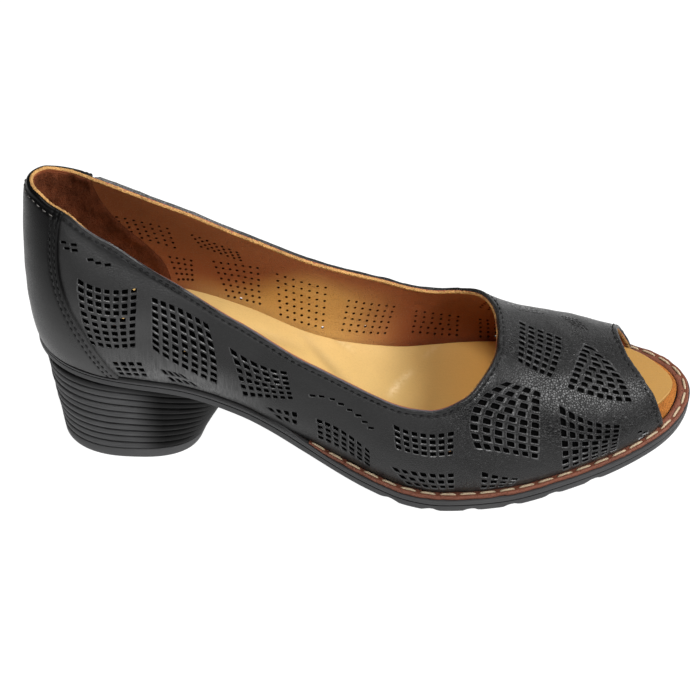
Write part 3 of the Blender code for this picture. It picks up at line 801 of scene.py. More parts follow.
def plan_ring(stations, out, height):
    """Ring round the feather line moved out, at a height that is a function of x."""
    edge = outline(stations, out)
    return np.column_stack([edge, height(edge[:, 0])])


# Cut-outs

def group_cells(group):
    """Corners of a group's cells as (cells, 4, 2) of station and around, by a bilinear blend of the
    four corners whose edges are bent by parabolas."""
    row = dict.fromkeys(GROUP_COLUMNS, 0.0)
    row.update(zip(GROUP_COLUMNS, group))
    corners = [np.array(row[name]) for name in ("top_back", "top_front", "low_front", "low_back")]

    def spot(p, t):
        p = np.asarray(p)[..., None]
        t = np.asarray(t)[..., None]
        top = corners[0] * (1 - p) + corners[1] * p
        low = corners[3] * (1 - p) + corners[2] * p
        flat = top * (1 - t) + low * t
        sag = 4 * p * (1 - p) * ((1 - t) * row["top_sag"] + t * row["low_sag"])
        bulge = 4 * t * (1 - t) * ((1 - p) * row["back_bulge"] + p * row["front_bulge"])
        return flat + np.concatenate([bulge, sag], axis=-1)

    cells = []
    for r in range(row["rows"]):
        mix = (r + 0.5) / row["rows"]
        count = int(round(row["cells_top"] * (1 - mix) + row["cells_low"] * mix))
        p = np.arange(count) / count
        step = 1.0 / count
        t0, t1 = r / row["rows"], (r + 1) / row["rows"]
        cells.append(np.stack([
            spot(p, np.full(count, t0)), spot(p + step, np.full(count, t0)),
            spot(p + step, np.full(count, t1)), spot(p, np.full(count, t1)),
        ], axis=1))
    return np.concatenate(cells)


def around_skin(spots, lift):
    """Point over the upper from station and around, where around runs over the crest."""
    station, around = spots[..., 0], spots[..., 1]
    side = np.where(around > 1.0, -1.0, 1.0)
    angle = np.clip(1.0 - np.abs(1.0 - around), 0.002, 1.0) * np.pi / 2
    return skin(station * side, angle, lift), skin_normal(station * side, angle)


def all_cells():
    """Centres, normals and corner arms, in metres, of every cut-out on both sides."""
    cells = np.concatenate([group_cells(group) for group in OUTER_GROUPS + INNER_GROUPS])
    corners, _ = around_skin(cells, np.zeros(cells.shape[:2]))
    centre_spot = cells.mean(axis=1)
    centre, normal = around_skin(centre_spot, np.zeros(len(cells)))
    arms = corners - corners.mean(axis=1, keepdims=True)
    single, single_normal = around_skin(np.array(SINGLE_CELLS), np.zeros(len(SINGLE_CELLS)))
    forward = unit(np.cross(single_normal, np.cross(np.array([1.0, 0.0, 0.0]), single_normal)))
    side = np.cross(single_normal, forward)
    slit = SINGLE_SLIT * side
    single_arms = SINGLE_HALF * CELL_PITCH * np.stack([
        -forward + slit, 0.8 * forward + 1.3 * slit, forward - slit, -0.8 * forward - 1.3 * slit,
    ], axis=1)
    return (
        np.concatenate([centre, single]),
        np.concatenate([normal, single_normal]),
        np.concatenate([arms, single_arms]),
    )


def cell_bodies(random):
    """One tapering body for each cut-out: eight-sided rings, each a share of its cell, from above
    the leather to below it. Corners are drawn in a little, so the openings look punched."""
    centre, normal, arms = all_cells()
    arms = arms - (arms * normal[:, None]).sum(-1, keepdims=True) * normal[:, None]
    middles = (arms + np.roll(arms, -1, axis=1)) / 2
    ring = np.stack([arms * CUT_CORNER, middles], axis=2).reshape(len(arms), 8, 3)
    area = np.cross(ring, np.roll(ring, -1, axis=1)).sum(axis=1)
    flip = (area * normal).sum(-1) < 0.0
    ring = np.where(flip[:, None, None], ring[:, ::-1], ring)
    size = 1.0 + random.uniform(*CUT_SIZE, (len(ring), 1, 1))
    centre = centre + (ring * random.uniform(-CUT_SHIFT, CUT_SHIFT, (len(ring), 8, 1))).sum(axis=1)
    rings = [
        centre[:, None] + ring * share * size + lift * normal[:, None] for lift, share in CELL_WALL
    ]
    return tubes(np.stack(rings, axis=1), downwards=True)


def pinhole_bodies(random):
    """A thin six-sided rod into the lining under the middle of each cut-out; a few go through."""
    centre, normal, arms = all_cells()
    forward = unit(arms[:, 1] - arms[:, 0])
    forward = unit(forward - (forward * normal).sum(-1, keepdims=True) * normal)
    side = np.cross(normal, forward)
    turn = 2 * np.pi * np.arange(6) / 6
    ring = PINHOLE_SIZE * (
        np.cos(turn)[None, :, None] * forward[:, None] + np.sin(turn)[None, :, None] * side[:, None]
    )
    through = random.random((len(centre), 1, 1)) < PINHOLES_THROUGH
    ends = PINHOLE_INSIDE, np.where(through, PINHOLE_OPEN, PINHOLE_BLIND)
    rings = [centre[:, None] + ring + lift * normal[:, None] for lift in ends]
    return tubes(np.stack(rings, axis=1))


# Making of finishes

class Value:
    """A socket; Python's operators on it add Math nodes, so shader maths reads as an expression."""

    def __init__(self, finish, socket):
        self.finish = finish
        self.socket = socket

    def maths(self, operation, *values):
        return self.finish.add("ShaderNodeMath", {"operation": operation}, dict(enumerate(values)))

    def __add__(self, other):
        return self.maths("ADD", self, other)

    def __sub__(self, other):
        return self.maths("SUBTRACT", self, other)

    def __mul__(self, other):
        return self.maths("MULTIPLY", self, other)

    def __rsub__(self, other):
        return self.maths("SUBTRACT", other, self)

    __radd__ = __add__
    __rmul__ = __mul__

    def above(self, start, end):
        """0 below start and 1 above end, with a smooth step between them."""
        settings = {"interpolation_type": "SMOOTHSTEP", "clamp": True}
        inputs = {"Value": self, "From Min": start, "From Max": end, "To Min": 0.0, "To Max": 1.0}
        return self.finish.add("ShaderNodeMapRange", settings, inputs)


class Finish:
    """A Principled material that is built from expressions."""

    def __init__(self, name, **sockets):
        self.material = bpy.data.materials.new(name)
        self.material.use_nodes = True
        self.tree = self.material.node_tree
        self.shader = self.tree.nodes["Principled BSDF"]
        self.position = self.add("ShaderNodeTexCoord", {}, {}, "Object")
        self.feed(self.shader, sockets)

    def feed(self, node, inputs):
        for name, value in inputs.items():
            socket = node.inputs[name]
            if isinstance(value, Value):
                self.tree.links.new(value.socket, socket)
            else:
                socket.default_value = value

    def add(self, kind, settings, inputs, output=0):
        """Any node: its type, its settings, which are set first, and its sockets."""
        node = self.tree.nodes.new(kind)
        for name, value in settings.items():
            setattr(node, name, value)
        self.feed(node, inputs)
        return Value(self, node.outputs[output])

    def stretched(self, x, y, z):
        """Object coordinates scaled along each axis."""
        return self.add(
            "ShaderNodeVectorMath", {"operation": "MULTIPLY"}, {0: self.position, 1: (x, y, z)}
        )

    def noise(self, scale, detail=2.0, vector=None, output="Fac"):
        inputs = {"Vector": vector or self.position, "Scale": scale, "Detail": detail}
        return self.add("ShaderNodeTexNoise", {}, inputs, output)

    def cells(self, scale, feature="DISTANCE_TO_EDGE", vector=None):
        inputs = {"Vector": vector or self.position, "Scale": scale}
        return self.add("ShaderNodeTexVoronoi", {"feature": feature}, inputs, "Distance")

    def mark(self, name):
        """A number that the mesh holds for each of its points."""
        return self.add("ShaderNodeAttribute", {"attribute_name": name}, {}, "Fac")

    def along(self, axis):
        """One axis of the Object coordinates."""
        return self.add("ShaderNodeSeparateXYZ", {}, {0: self.position}, axis)

    def mix(self, share, low, high):
        """Colour between two colours."""
        inputs = {0: share, 6: low, 7: high}
        return self.add("ShaderNodeMix", {"data_type": "RGBA"}, inputs, 2)

    def bumped(self, height, distance):
        """Feeds the normal from a height of 0 to 1 over a distance in metres."""
        inputs = {"Height": height, "Distance": distance, "Strength": 1.0}
        self.feed(self.shader, {"Normal": self.add("ShaderNodeBump", {}, inputs)})

    def finish(self, **sockets):
        self.feed(self.shader, {name.replace("_", " ").title(): v for name, v in sockets.items()})
        return self.material


def darker(colour, share):
    """A colour times a share, which may be more than 1."""
    return tuple(c * share for c in colour[:3]) + (1.0,)


def black_leather(name, colour, pebble, gloss=0.25, roughness=0.25, marks_and_painted_light=0.0, painted_light_low=0.0):
    """Grained leather: pebbles between fine furrows, deeper over the toes, and a sheen that varies.
    marks_and_painted_light adds fine pale streaks on a paler patch low in the waist, and a paler
    band over it, towards the heel, that is a painted highlight. painted_light_low lightens it
    towards the
    sole: painted light from the floor."""
    leather = Finish(name, **{"Specular IOR Level": gloss})
    warp = leather.noise(500.0, output="Color")
    moved = leather.add(
        "ShaderNodeVectorMath", {"operation": "MULTIPLY_ADD"},
        {0: warp, 1: (0.0006, 0.0006, 0.0006), 2: leather.position},
    )
    forward = leather.along("X")
    furrow = leather.cells(1100.0, vector=moved).above(0.0, 0.18)
    fine = leather.noise(3600.0)
    toes = 0.3 + 1.2 * forward.above(0.085, 0.130)
    height = (furrow * toes + fine * 0.15) * pebble + leather.noise(150.0, 3.0) * 0.6
    tone = leather.noise(45.0, 3.0).above(0.30, 0.75)
    dusty = leather.noise(900.0, 2.0).above(0.45, 0.85)
    body = leather.mix(tone * 0.5 + dusty * 0.35, darker(colour, 0.6), darker(colour, 1.6))
    over_sole = leather.along("Z") + 0.040 * forward.above(0.010, 0.115)
    if marks_and_painted_light:
        hair = leather.noise(1.0, 2.0, vector=leather.stretched(1900.0, 1900.0, 150.0))
        stretched = (1.0 - over_sole.above(0.047, 0.066)) * (1.0 - forward.above(0.030, 0.060))
        height = height + hair * stretched * marks_and_painted_light * 2.0
        share = stretched * (0.35 + 0.65 * hair.above(0.25, 0.75)) * marks_and_painted_light
        body = leather.mix(share, body, (0.22, 0.22, 0.22, 1.0))
        # Painted highlight: a paler band along the side, towards the heel
        quarter = over_sole.above(0.048, 0.064) * (1.0 - over_sole.above(0.070, 0.088))
        quarter = quarter * (1.0 - forward.above(0.000, 0.035)) * marks_and_painted_light
        body = leather.mix(quarter * (0.30 + 0.30 * hair), body, (0.14, 0.14, 0.14, 1.0))
    # Painted light from the floor: paler towards the sole
    if painted_light_low:
        low = 1.0 - over_sole.above(0.050, 0.095)
        body = leather.mix(low * painted_light_low, body, (0.12, 0.12, 0.12, 1.0))
    leather.bumped(height, 0.00008)
    rough = roughness + (1.0 - furrow) * 0.14 + tone * 0.08
    return leather.finish(base_color=body, roughness=rough)


def tan_leather(name, pale, deep, pores=0.4, roughness=0.5, shade=None, marks_and_painted_light=False):
    """Smooth lining leather: two tans that cloud into each other, fine pores and faint wrinkles.
    shade is a function of the finish that gives a share of a third, darker tan, and that tan."""
    leather = Finish(name, **{"Specular IOR Level": 0.35})
    cloud = leather.noise(38.0, 4.0).above(0.25, 0.75)
    fleck = leather.noise(1500.0, 2.0).above(0.35, 0.80)
    pore = leather.cells(1500.0, "F1").above(0.10, 0.40)
    fibre = leather.noise(1.0, 3.0, vector=leather.stretched(260.0, 1500.0, 1500.0))
    body = leather.mix(cloud * 0.55 + fleck * 0.25, pale, deep)
    if shade:
        share, brown = shade(leather)
        body = leather.mix(share, body, brown)
    if marks_and_painted_light:
        # Painted shade along the sock's creases
        body = leather.mix(leather.mark("fold") * 0.55, body, darker(deep, 0.55))
        scuff = leather.mark("scuff") * leather.noise(700.0, 3.0).above(0.25, 0.60)
        body = leather.mix(scuff, body, (0.86, 0.68, 0.40, 1.0))
    body = leather.mix((1.0 - pore) * 0.35 * pores, body, darker(deep, 0.45))
    leather.bumped(pore * pores + fibre * 0.5 + leather.noise(160.0, 3.0) * 1.2, 0.00022)
    return leather.finish(base_color=body, roughness=roughness + fleck * 0.12)


def suede(name, pale, deep):
    """Napped leather: short fibres that lie in patches, no gloss, a little sheen."""
    nap = Finish(name, **{"Specular IOR Level": 0.1})
    patch = nap.noise(160.0, 4.0).above(0.35, 0.65)
    fibre = nap.noise(2200.0, 3.0)
    body = nap.mix(patch * 0.5 + fibre.above(0.35, 0.65) * 0.5, deep, pale)
    nap.bumped(fibre + nap.noise(700.0, 3.0) * 1.2, 0.0005)
    return nap.finish(base_color=body, roughness=0.9)


def rubber(name, colour, roughness=0.5, shine=0.35, layers=0.0, grooves=False):
    """Moulded rubber: a fine mould grain and dust in patches, and painted shade down in its
    grooves. A stacked heel has faint drawn lines too, and its front is black as painted shade."""
    body = Finish(name, **{"Specular IOR Level": shine})
    dust = body.noise(60.0, 4.0).above(0.35, 0.8)
    grain = body.noise(2400.0, 2.0)
    height = grain * 0.5 + body.noise(350.0, 3.0) * 0.5
    tone = dust * 0.4 + grain * 0.25
    if layers:
        drawn = body.noise(1.0, 3.0, vector=body.stretched(120.0, 120.0, 2600.0))
        height = height + drawn * layers
        tone = tone + drawn.above(0.35, 0.65) * 0.4
    tone = body.mix(tone, colour, darker(colour, 1.9))
    if layers:
        # Painted shade: the heel's front turns black
        tone = body.mix(body.along("X").above(0.000, 0.014), tone, BLACK)
    if grooves:
        # Painted shade: black down in the grooves
        tone = body.mix(body.mark("groove"), tone, BLACK)
    body.bumped(height, 0.00014)
    return body.finish(base_color=tone, roughness=roughness + grain * 0.12)


def thread(name, pale, deep):
    """Twisted thread: slanting strands."""
    strand = Finish(name, **{"Specular IOR Level": 0.3})
    twist = strand.noise(1800.0, 3.0)
    strand.bumped(twist, 0.00012)
    return strand.finish(base_color=strand.mix(twist.above(0.3, 0.7), pale, deep), roughness=0.75)


# Sizes and colours that a user would change

def size_of(name, default, description):
    return bpy.props.FloatProperty(
        name=name, description=description, default=default, min=0.0, subtype="DISTANCE",
        unit="LENGTH", precision=5,
    )


def colour_of(name, default, description):
    return bpy.props.FloatVectorProperty(
        name=name, description=description, default=(*default, 1.0), size=4, min=0.0, max=1.0,
        subtype="COLOR",
    )


class ShoeSizes(bpy.types.PropertyGroup):
    leather: size_of("Leather", 0.00105, "Thickness of the outer leather")
    stitch_inset: size_of("Stitch inset", 0.0019, "Edge to stitch row, along the topline and peep")
    stitch_pitch: size_of("Stitch pitch", 0.0026, "One stitch to the next, on the leather")
    stitch_radius: size_of("Stitch radius", 0.00027, "Radius of the leather's thread")
    trough: size_of("Stitch trough", 0.00022, "How deep a stitch row sinks into the leather")
    roll: size_of("Folded edge", 0.00020, "How far the folded edge swells")
    raw_edge: size_of("Raw lining edge", 0.0013, "Height of the bare edge of the lining")
    grip: size_of("Heel grip", 0.00070, "Thickness of the heel grip")
    welt_pitch: size_of("Welt stitch pitch", 0.0074, "One stitch to the next, on the welt")
    welt_thread: size_of("Welt thread", 0.00046, "Radius of the welt's thread")


class ShoeColours(bpy.types.PropertyGroup):
    leather: colour_of("Leather", (0.010, 0.010, 0.0102), "Outer leather")
    # The rims are paler than the leather: a painted highlight on the bars between the cut-outs
    rim: colour_of("Cut rims", (0.040, 0.040, 0.041), "Rounded rims of the cut-outs")
    # The counter is darker than the leather as painted shade at the back, away from the light
    counter: colour_of("Counter", (0.004, 0.004, 0.0041), "Back panel")
    thread: colour_of("Thread", (0.004, 0.004, 0.0045), "Thread on the leather")
    pale_thread: colour_of("Pale thread", (0.16, 0.15, 0.14), "Thread round the top of the counter")
    # The bead is paler than the leather: a painted highlight along the outer topline
    bead: colour_of("Bead", (0.085, 0.078, 0.092), "Folded edge of the topline")
    # The lining's pale tan is how it looks where the light falls; its brown is painted shade
    lining: colour_of("Lining", (0.741, 0.425, 0.131), "Lining leather, low in the waist")
    lining_shaded: colour_of("Lining brown", (0.30, 0.085, 0.032), "Lining leather elsewhere")
    pinhole: colour_of("Pinholes", (0.060, 0.020, 0.008), "Walls of the lining's pinholes")
    # The pinholes' walls are dark brown as painted shade inside the small holes
    raw: colour_of("Raw edge", (0.60, 0.33, 0.12), "Bare edge of the lining")
    grip: colour_of("Heel grip", (0.155, 0.043, 0.017), "Napped heel grip")
    sock: colour_of("Sock", (0.60, 0.395, 0.142), "Sock leather")
    # The sock's warmer tan under the vamp is painted shade
    sock_in_shade: colour_of("Sock toe", (0.90, 0.46, 0.105), "Sock leather under the toes")
    board: colour_of("Board", (0.46, 0.17, 0.038), "Insole board")
    welt: colour_of("Welt", (0.165, 0.050, 0.025), "Welt leather")
    welt_thread: colour_of("Welt thread", (0.46, 0.36, 0.24), "Thread on the welt")
    sole: colour_of("Sole", (0.026, 0.026, 0.027), "Outsole rubber")
    heel: colour_of("Heel", (0.042, 0.042, 0.043), "Heel block")
    floor: colour_of("Floor", (1.0, 1.0, 1.0), "Studio floor, which shines")


# Pieces

def soft_waves(points, height, length):
    """A few slow waves in three directions, so that no surface is perfectly even."""
    x, y, z = points.T * (2 * np.pi / length)
    wave = np.sin(x + 1.3 * np.sin(z * 0.7)) * np.sin(0.8 * z + 0.5 * y)
    return height * (wave + 0.5 * np.sin(1.9 * x - 1.1 * z + 0.4) * np.sin(1.3 * y + 0.9 * z))


def edge_relief(distance, sizes, thickness):
    """Lift of leather near a folded edge: it rounds over at the edge, swells, then sinks under the
    stitch row, by two Gauss bells and a quarter circle."""
    rounding = -thickness * 0.5 * rounded(distance, FOLD_RADIUS)
    swell = sizes.roll * bell(distance - SWELL_AT, SWELL_WIDTH)
    trough = -sizes.trough * bell(distance - sizes.stitch_inset, TROUGH_WIDTH)
    return rounding + swell + trough


def make_upper(sizes, colours):
    """Outer leather: the last's surface as a sheet with relief, a second sheet inside it, and every
    cut-out taken through both."""
    station, angle, index = upper_grid(*UPPER_GRID)
    surface, normal = skin_lists(station, angle)
    topline = edge_path("topline", 460)[2]
    to_topline = nearest(surface, topline)
    distance = np.minimum(to_topline, nearest(surface, edge_path("peep", 130)[2]))
    lift = edge_relief(distance, sizes, sizes.leather) + soft_waves(surface, 0.00010, 0.018)
    flat = station.reshape(-1)
    seams = seam_station(1.0, 1.0) + SEAM_MARGIN, -seam_station(1.0, -1.0) - SEAM_MARGIN
    covered = (flat < seams[0]) & (flat > seams[1])
    lift -= edge_taper(to_topline) * covered
    outer = surface + lift[:, None] * normal
    inner = surface - sizes.leather * normal
    outer, quads, inner = used_only(outer, grid_quads(index), inner)
    points, faces = shell(outer, inner, quads)
    finish = black_leather("upper_leather", colours.leather, 0.9, marks_and_painted_light=0.5)
    upper = new_piece("upper_leather", points, faces, finish, "upper_leather")
    # Painted highlight on the rims of the cut-outs
    upper.data.materials.append(black_leather("cut_rim_highlight", colours.rim, 0.2, gloss=0.55))
    # Painted shade down the walls of the cut-outs, far darker than the leather
    upper.data.materials.append(rubber("cut_wall_shade", darker(colours.leather, 0.12), 0.8, shine=0.02))
    bodies, body_faces = cell_bodies(np.random.default_rng(SEED))
    count = len(body_faces[1])
    levels = len(CELL_WALL) - 1
    # The upper rings of each cut-out take the rims' painted highlight, the lowest the walls'
    # painted shade
    rim = np.where(np.arange(levels) < levels - 2, 1, 2)
    walls = np.concatenate([np.tile(np.repeat(rim, 8), count), np.full(2 * count, 2)])
    cut_out(upper, bodies, body_faces, 1.0, walls)
    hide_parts("upper")


def make_lining(sizes, colours):
    """Lining inside the leather, with a pinhole under the middle of each cut-out. Its outer face is
    near black."""
    station, angle, index = upper_grid(*LINING_GRID)
    surface, normal = skin_lists(station, angle)
    outer = surface - (sizes.leather + LINING_GAP) * normal
    wrinkle = soft_waves(surface, 0.00012, 0.011)
    inner = surface - (WALL - wrinkle[:, None]) * normal
    outer, quads, inner = used_only(outer, grid_quads(index), inner)
    points, faces = shell(outer, inner, quads)

    def shade(leather):
        """Painted shade: brown at the top, the heel and the toe, where the walls shade the lining;
        pale low in the waist, where the light falls.
        """
        forward = leather.along("X")
        over_sole = leather.along("Z") + 0.040 * forward.above(0.010, 0.115)
        height = over_sole - 0.028 * forward.above(0.030, 0.070)
        pale = (1.0 - height.above(0.041, 0.057)) * (1.0 - forward.above(0.070, 0.105))
        return 1.0 - pale * forward.above(0.010, 0.035), colours.lining_shaded

    tan = tan_leather(
        "lining_leather", colours.lining, darker(colours.lining, 0.7), pores=0.8, shade=shade
    )
    lining = new_piece("lining", points, faces, tan, "upper_leather")
    lining.data.materials.append(rubber("dark_outer_face", darker(colours.leather, 0.12), 0.8, shine=0.02))
    # Painted shade inside the pinholes
    deep = darker(colours.pinhole, 0.5)
    lining.data.materials.append(suede("pinhole_wall_shade", colours.pinhole, deep))
    dark_outer_face = np.zeros(len(lining.data.polygons), np.int32)
    dark_outer_face[:len(quads)] = 1
    lining.data.polygons.foreach_set("material_index", dark_outer_face)
    bodies, body_faces = pinhole_bodies(np.random.default_rng(SEED))
    cut_out(lining, bodies, body_faces, 0.6, wall_finish=2)


def make_raw_edge(sizes, colours):
    """Bare edge of the lining: a thin square band, rounded and rough, that caps the lining all
    round the topline and the peep opening. It stands proud at the heel and hides below the outer
    topline."""
    low, high = -WALL - 0.00035, -sizes.leather + 0.00002
    middle = (low + high) / 2
    tall = sizes.raw_edge
    profile = np.array([
        (tall, middle), (tall - 0.0002, high), (0.0002, high), (-0.00012, middle + 0.0001),
        (-0.00012, middle - 0.0002), (0.0002, low - 0.0001), (tall - 0.0003, low),
    ])[::-1]
    finishes = {
        "topline": suede("raw_edge", colours.raw, darker(colours.raw, 0.45)),
        # The peep's bare edge is the same leather, darker as painted shade at the toe opening
        "peep": suede("raw_peep_edge_shaded", darker(colours.raw, 0.55), darker(colours.raw, 0.25)),
    }
    for kind, count in EDGE_POINTS.items():
        station, _, position, _, normal, into, _ = edge_path(kind, count)
        sink = np.random.default_rng(SEED).normal(0.0, 0.00009, count)
        if kind == "topline":
            hidden = smoothstep(station, 0.105, 0.14) * (1.0 - smoothstep(station, 0.56, 0.64))
            proud = 1.0 - smoothstep(np.abs(station), 0.05, 0.13)
            sink = sink + 0.0014 * hidden - 0.00045 * proud
            position = position + 0.0005 * proud[:, None] * normal
        path = position + sink[:, None] * into
        points, faces = swept(path, into, normal, profile, kind == "topline")
        new_piece(f"raw_edge_{kind}", points, faces, finishes[kind], "upper_leather", 0.9)


def make_bead(sizes, colours):
    """Folded edge of the leather along the outer topline: a thin bead, tapered at both ends. Its
    pale grey-violet colour is a painted highlight where the edge faces the light.
    """
    station, _, position, _, normal, into, _ = edge_path("topline", EDGE_POINTS["topline"])
    keep = (station > seam_station(1.0, 1.0) + SEAM_MARGIN) & (station < 0.66)
    position, normal, into = position[keep], normal[keep], into[keep]
    turn = np.linspace(0.0, 2 * np.pi, 9)[:-1]
    ends = np.linspace(0.0, 1.0, len(position))
    size = BEAD_RADIUS * np.sqrt(np.clip(np.minimum(ends, 1.0 - ends) / 0.02, 0.02, 1.0))
    centre = position - 0.00095 * normal + 0.00024 * into
    profile = np.column_stack([0.75 * np.cos(turn), 1.9 * np.sin(turn)])
    points, faces = swept(centre, into * size[:, None], normal * size[:, None], profile, False)
    finish = black_leather("topline_bead_highlight", colours.bead, 0.3)
    new_piece("topline_bead_highlight", points, faces, finish, "upper_leather", 1.2)


def make_grip(sizes, colours):
    """Napped grip inside the heel, cut between two forms inside the lining."""
    share = np.linspace(0.02, 0.985, 37)
    reach = GRIP_REACH(share * topline_angle(GRIP_REACH(share)) * 2 / np.pi)
    across = np.linspace(-1.0, 1.0, 91)
    station = across[:, None] * reach
    angle = share * topline_angle(station)
    surface, normal = skin_lists(station, angle)
    edge = np.minimum(1.0 - np.abs(across)[:, None], (1.0 - share) * 0.8) * np.ones_like(station)
    thin = np.sqrt(np.clip(edge / 0.03, 0.02, 1.0)).reshape(-1, 1)
    puff = 1.0 + soft_waves(surface, 0.6, 0.012) + soft_waves(surface, 0.25, 0.003)
    outer = surface - (WALL + GRIP_GAP) * normal
    inner = outer - sizes.grip * thin * np.clip(puff, 0.5, 2.0)[:, None] * normal
    points, faces = shell(outer, inner, grid_quads(numbered(station.shape)))
    finish = suede("heel_grip", colours.grip, darker(colours.grip, 0.5))
    new_piece("heel_grip", points, faces, finish, "sock_leather", 0.9)


def edge_taper(distance):
    """How far leather thins towards an edge that another layer wraps."""
    return EDGE_TAPER * (1.0 - smoothstep(distance, 0.0, 0.0035))


def seam_station(share, side):
    """The counter's front edge at a share of the way up: side is 1 outside and -1 inside."""
    lean = INNER_SEAM_LEAN * share**2 * (np.asarray(side) < 0.0)
    return station_at((SEAM_REACH(share) + lean) * LAST_LENGTH)


def make_counter(sizes, colours):
    """Back panel: a sheet lifted a little and a sheet lifted more, rounded at its edges, with two
    stitch troughs along each front edge."""
    shares = 1.0 - (1.0 - np.linspace(0.0, 1.0, 41)) ** 1.8
    across = np.linspace(-1.0, 1.0, 141)
    across = np.sign(across) * (1.0 - (1.0 - np.abs(across)) ** 1.7)
    station = across[:, None] * seam_station(shares, across[:, None])
    rise = 0.25 * COUNTER_RISE / BACK_HEIGHT
    angle = shares * (topline_angle(station) + rise)
    surface, normal = skin_lists(station, angle)
    front = np.concatenate([seam_path(200, side)[2] for side in (1.0, -1.0)])
    to_front = nearest(surface, front)
    to_top = nearest(surface, last_surface(station[:, -1], angle[:, -1]))
    lift = edge_relief(to_top, sizes, COUNTER_THICKNESS)
    lift -= COUNTER_THICKNESS * 0.6 * rounded(to_front, 0.0006)
    for inset in SEAM_ROWS:
        lift -= sizes.trough * bell(to_front - inset, TROUGH_WIDTH)
    lift += soft_waves(surface, 0.00008, 0.022)
    low = COUNTER_GAP - edge_taper(to_top)
    outer = surface + (low + COUNTER_THICKNESS + lift)[:, None] * normal
    inner = surface + low[:, None] * normal
    points, faces = shell(outer, inner, grid_quads(numbered(station.shape)))
    # Painted shade in the counter's darker colour, and painted light as it pales towards the sole
    finish = black_leather("counter_leather", colours.counter, 0.25, gloss=0.09, painted_light_low=0.40)
    counter = new_piece("counter_panel", points, faces, finish, "counter_leather")
    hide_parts("counter")


def seam_path(count, side):
    """Stations, shares of the way up, points and length of a counter seam, at equal steps."""
    share = np.linspace(0.0, 1.0, 801)
    station = side * seam_station(share, side)
    points = last_surface(station, share * topline_angle(station))
    length = lengths(points)
    share = np.interp(np.linspace(0.0, length[-1], count), length, share)
    station = side * seam_station(share, side)
    return station, share, last_surface(station, share * topline_angle(station)), length[-1]


def make_stitching(sizes, colours):
    """Stitch rows: along the topline and the peep edge, and two behind each counter seam."""
    dark = thread("leather_thread", colours.thread, darker(colours.thread, 0.4))
    pale = thread("counter_thread", colours.pale_thread, darker(colours.pale_thread, 0.4))
    radius = sizes.stitch_radius
    sunk = radius * 0.55 - sizes.trough
    length = sizes.stitch_pitch * 0.68
    seam = float(seam_station(1.0, 1.0))
    inner_seam = -float(seam_station(1.0, -1.0))

    pitch = sizes.stitch_pitch

    def rods(name, finish, slot, centre, along, normal, share=1.0):
        points, faces = threads(centre, along, normal, length, radius * share)
        new_piece(f"stitches_{name}", points, faces, finish, slot, 1.2)

    for kind in ("topline", "peep"):
        station, centre, along, normal = offset_row(kind, sizes.stitch_inset, pitch, sunk)
        keep = ((station > seam) | (station < inner_seam)) | (kind == "peep")
        rods(kind, dark, "upper_leather", centre[keep], along[keep], normal[keep])
    inset = sizes.stitch_inset + 0.0006
    lift = COUNTER_THICKNESS + sunk + 0.0001
    station, centre, along, normal = offset_row("topline", inset, pitch, lift)
    centre = centre - edge_taper(inset) * normal
    keep = (station < seam - SEAM_MARGIN) & (station > inner_seam + SEAM_MARGIN)
    parts = centre[keep], along[keep], normal[keep]
    rods("counter_top", pale, "counter_leather", *parts, share=0.75)
    rows = []
    for side in (1.0, -1.0):
        for inset in SEAM_ROWS:
            whole = seam_path(8, side)[3]
            station, share, path, _ = seam_path(int(whole / pitch), side)
            keep = (share > 0.03) & (share < 0.955)
            station, share, path = station[keep], share[keep], path[keep]
            angle = share * topline_angle(station)
            along = unit(np.gradient(path, axis=0))
            behind = np.cross(skin_normal(station, angle), along)
            behind = behind * -np.sign(behind[:, :1])
            station, angle = walk(station, angle, behind * inset)
            normal = skin_normal(station, angle)
            centre = last_surface(station, angle) + (COUNTER_THICKNESS + sunk) * normal
            rows.append((centre, along, normal))
    rows = [np.concatenate(part) for part in zip(*rows)]
    rods("counter_seam", dark, "counter_leather", *rows)


def crease_field(points, creases):
    """Sum of soft ridges and troughs: each a Gauss bell across a line that fades past its ends."""
    field = np.zeros(points.shape[:-1])
    for x0, y0, x1, y1, width, height in creases:
        start = np.array([x0, y0])
        run = np.array([x1, y1]) - start
        t = np.clip(((points[..., :2] - start) @ run) / (run @ run), 0.0, 1.0)
        gap = np.linalg.norm(points[..., :2] - start - t[..., None] * run, axis=-1)
        field += height * bell(gap, width) * (0.35 + 0.65 * np.sin(np.pi * t))
    return field


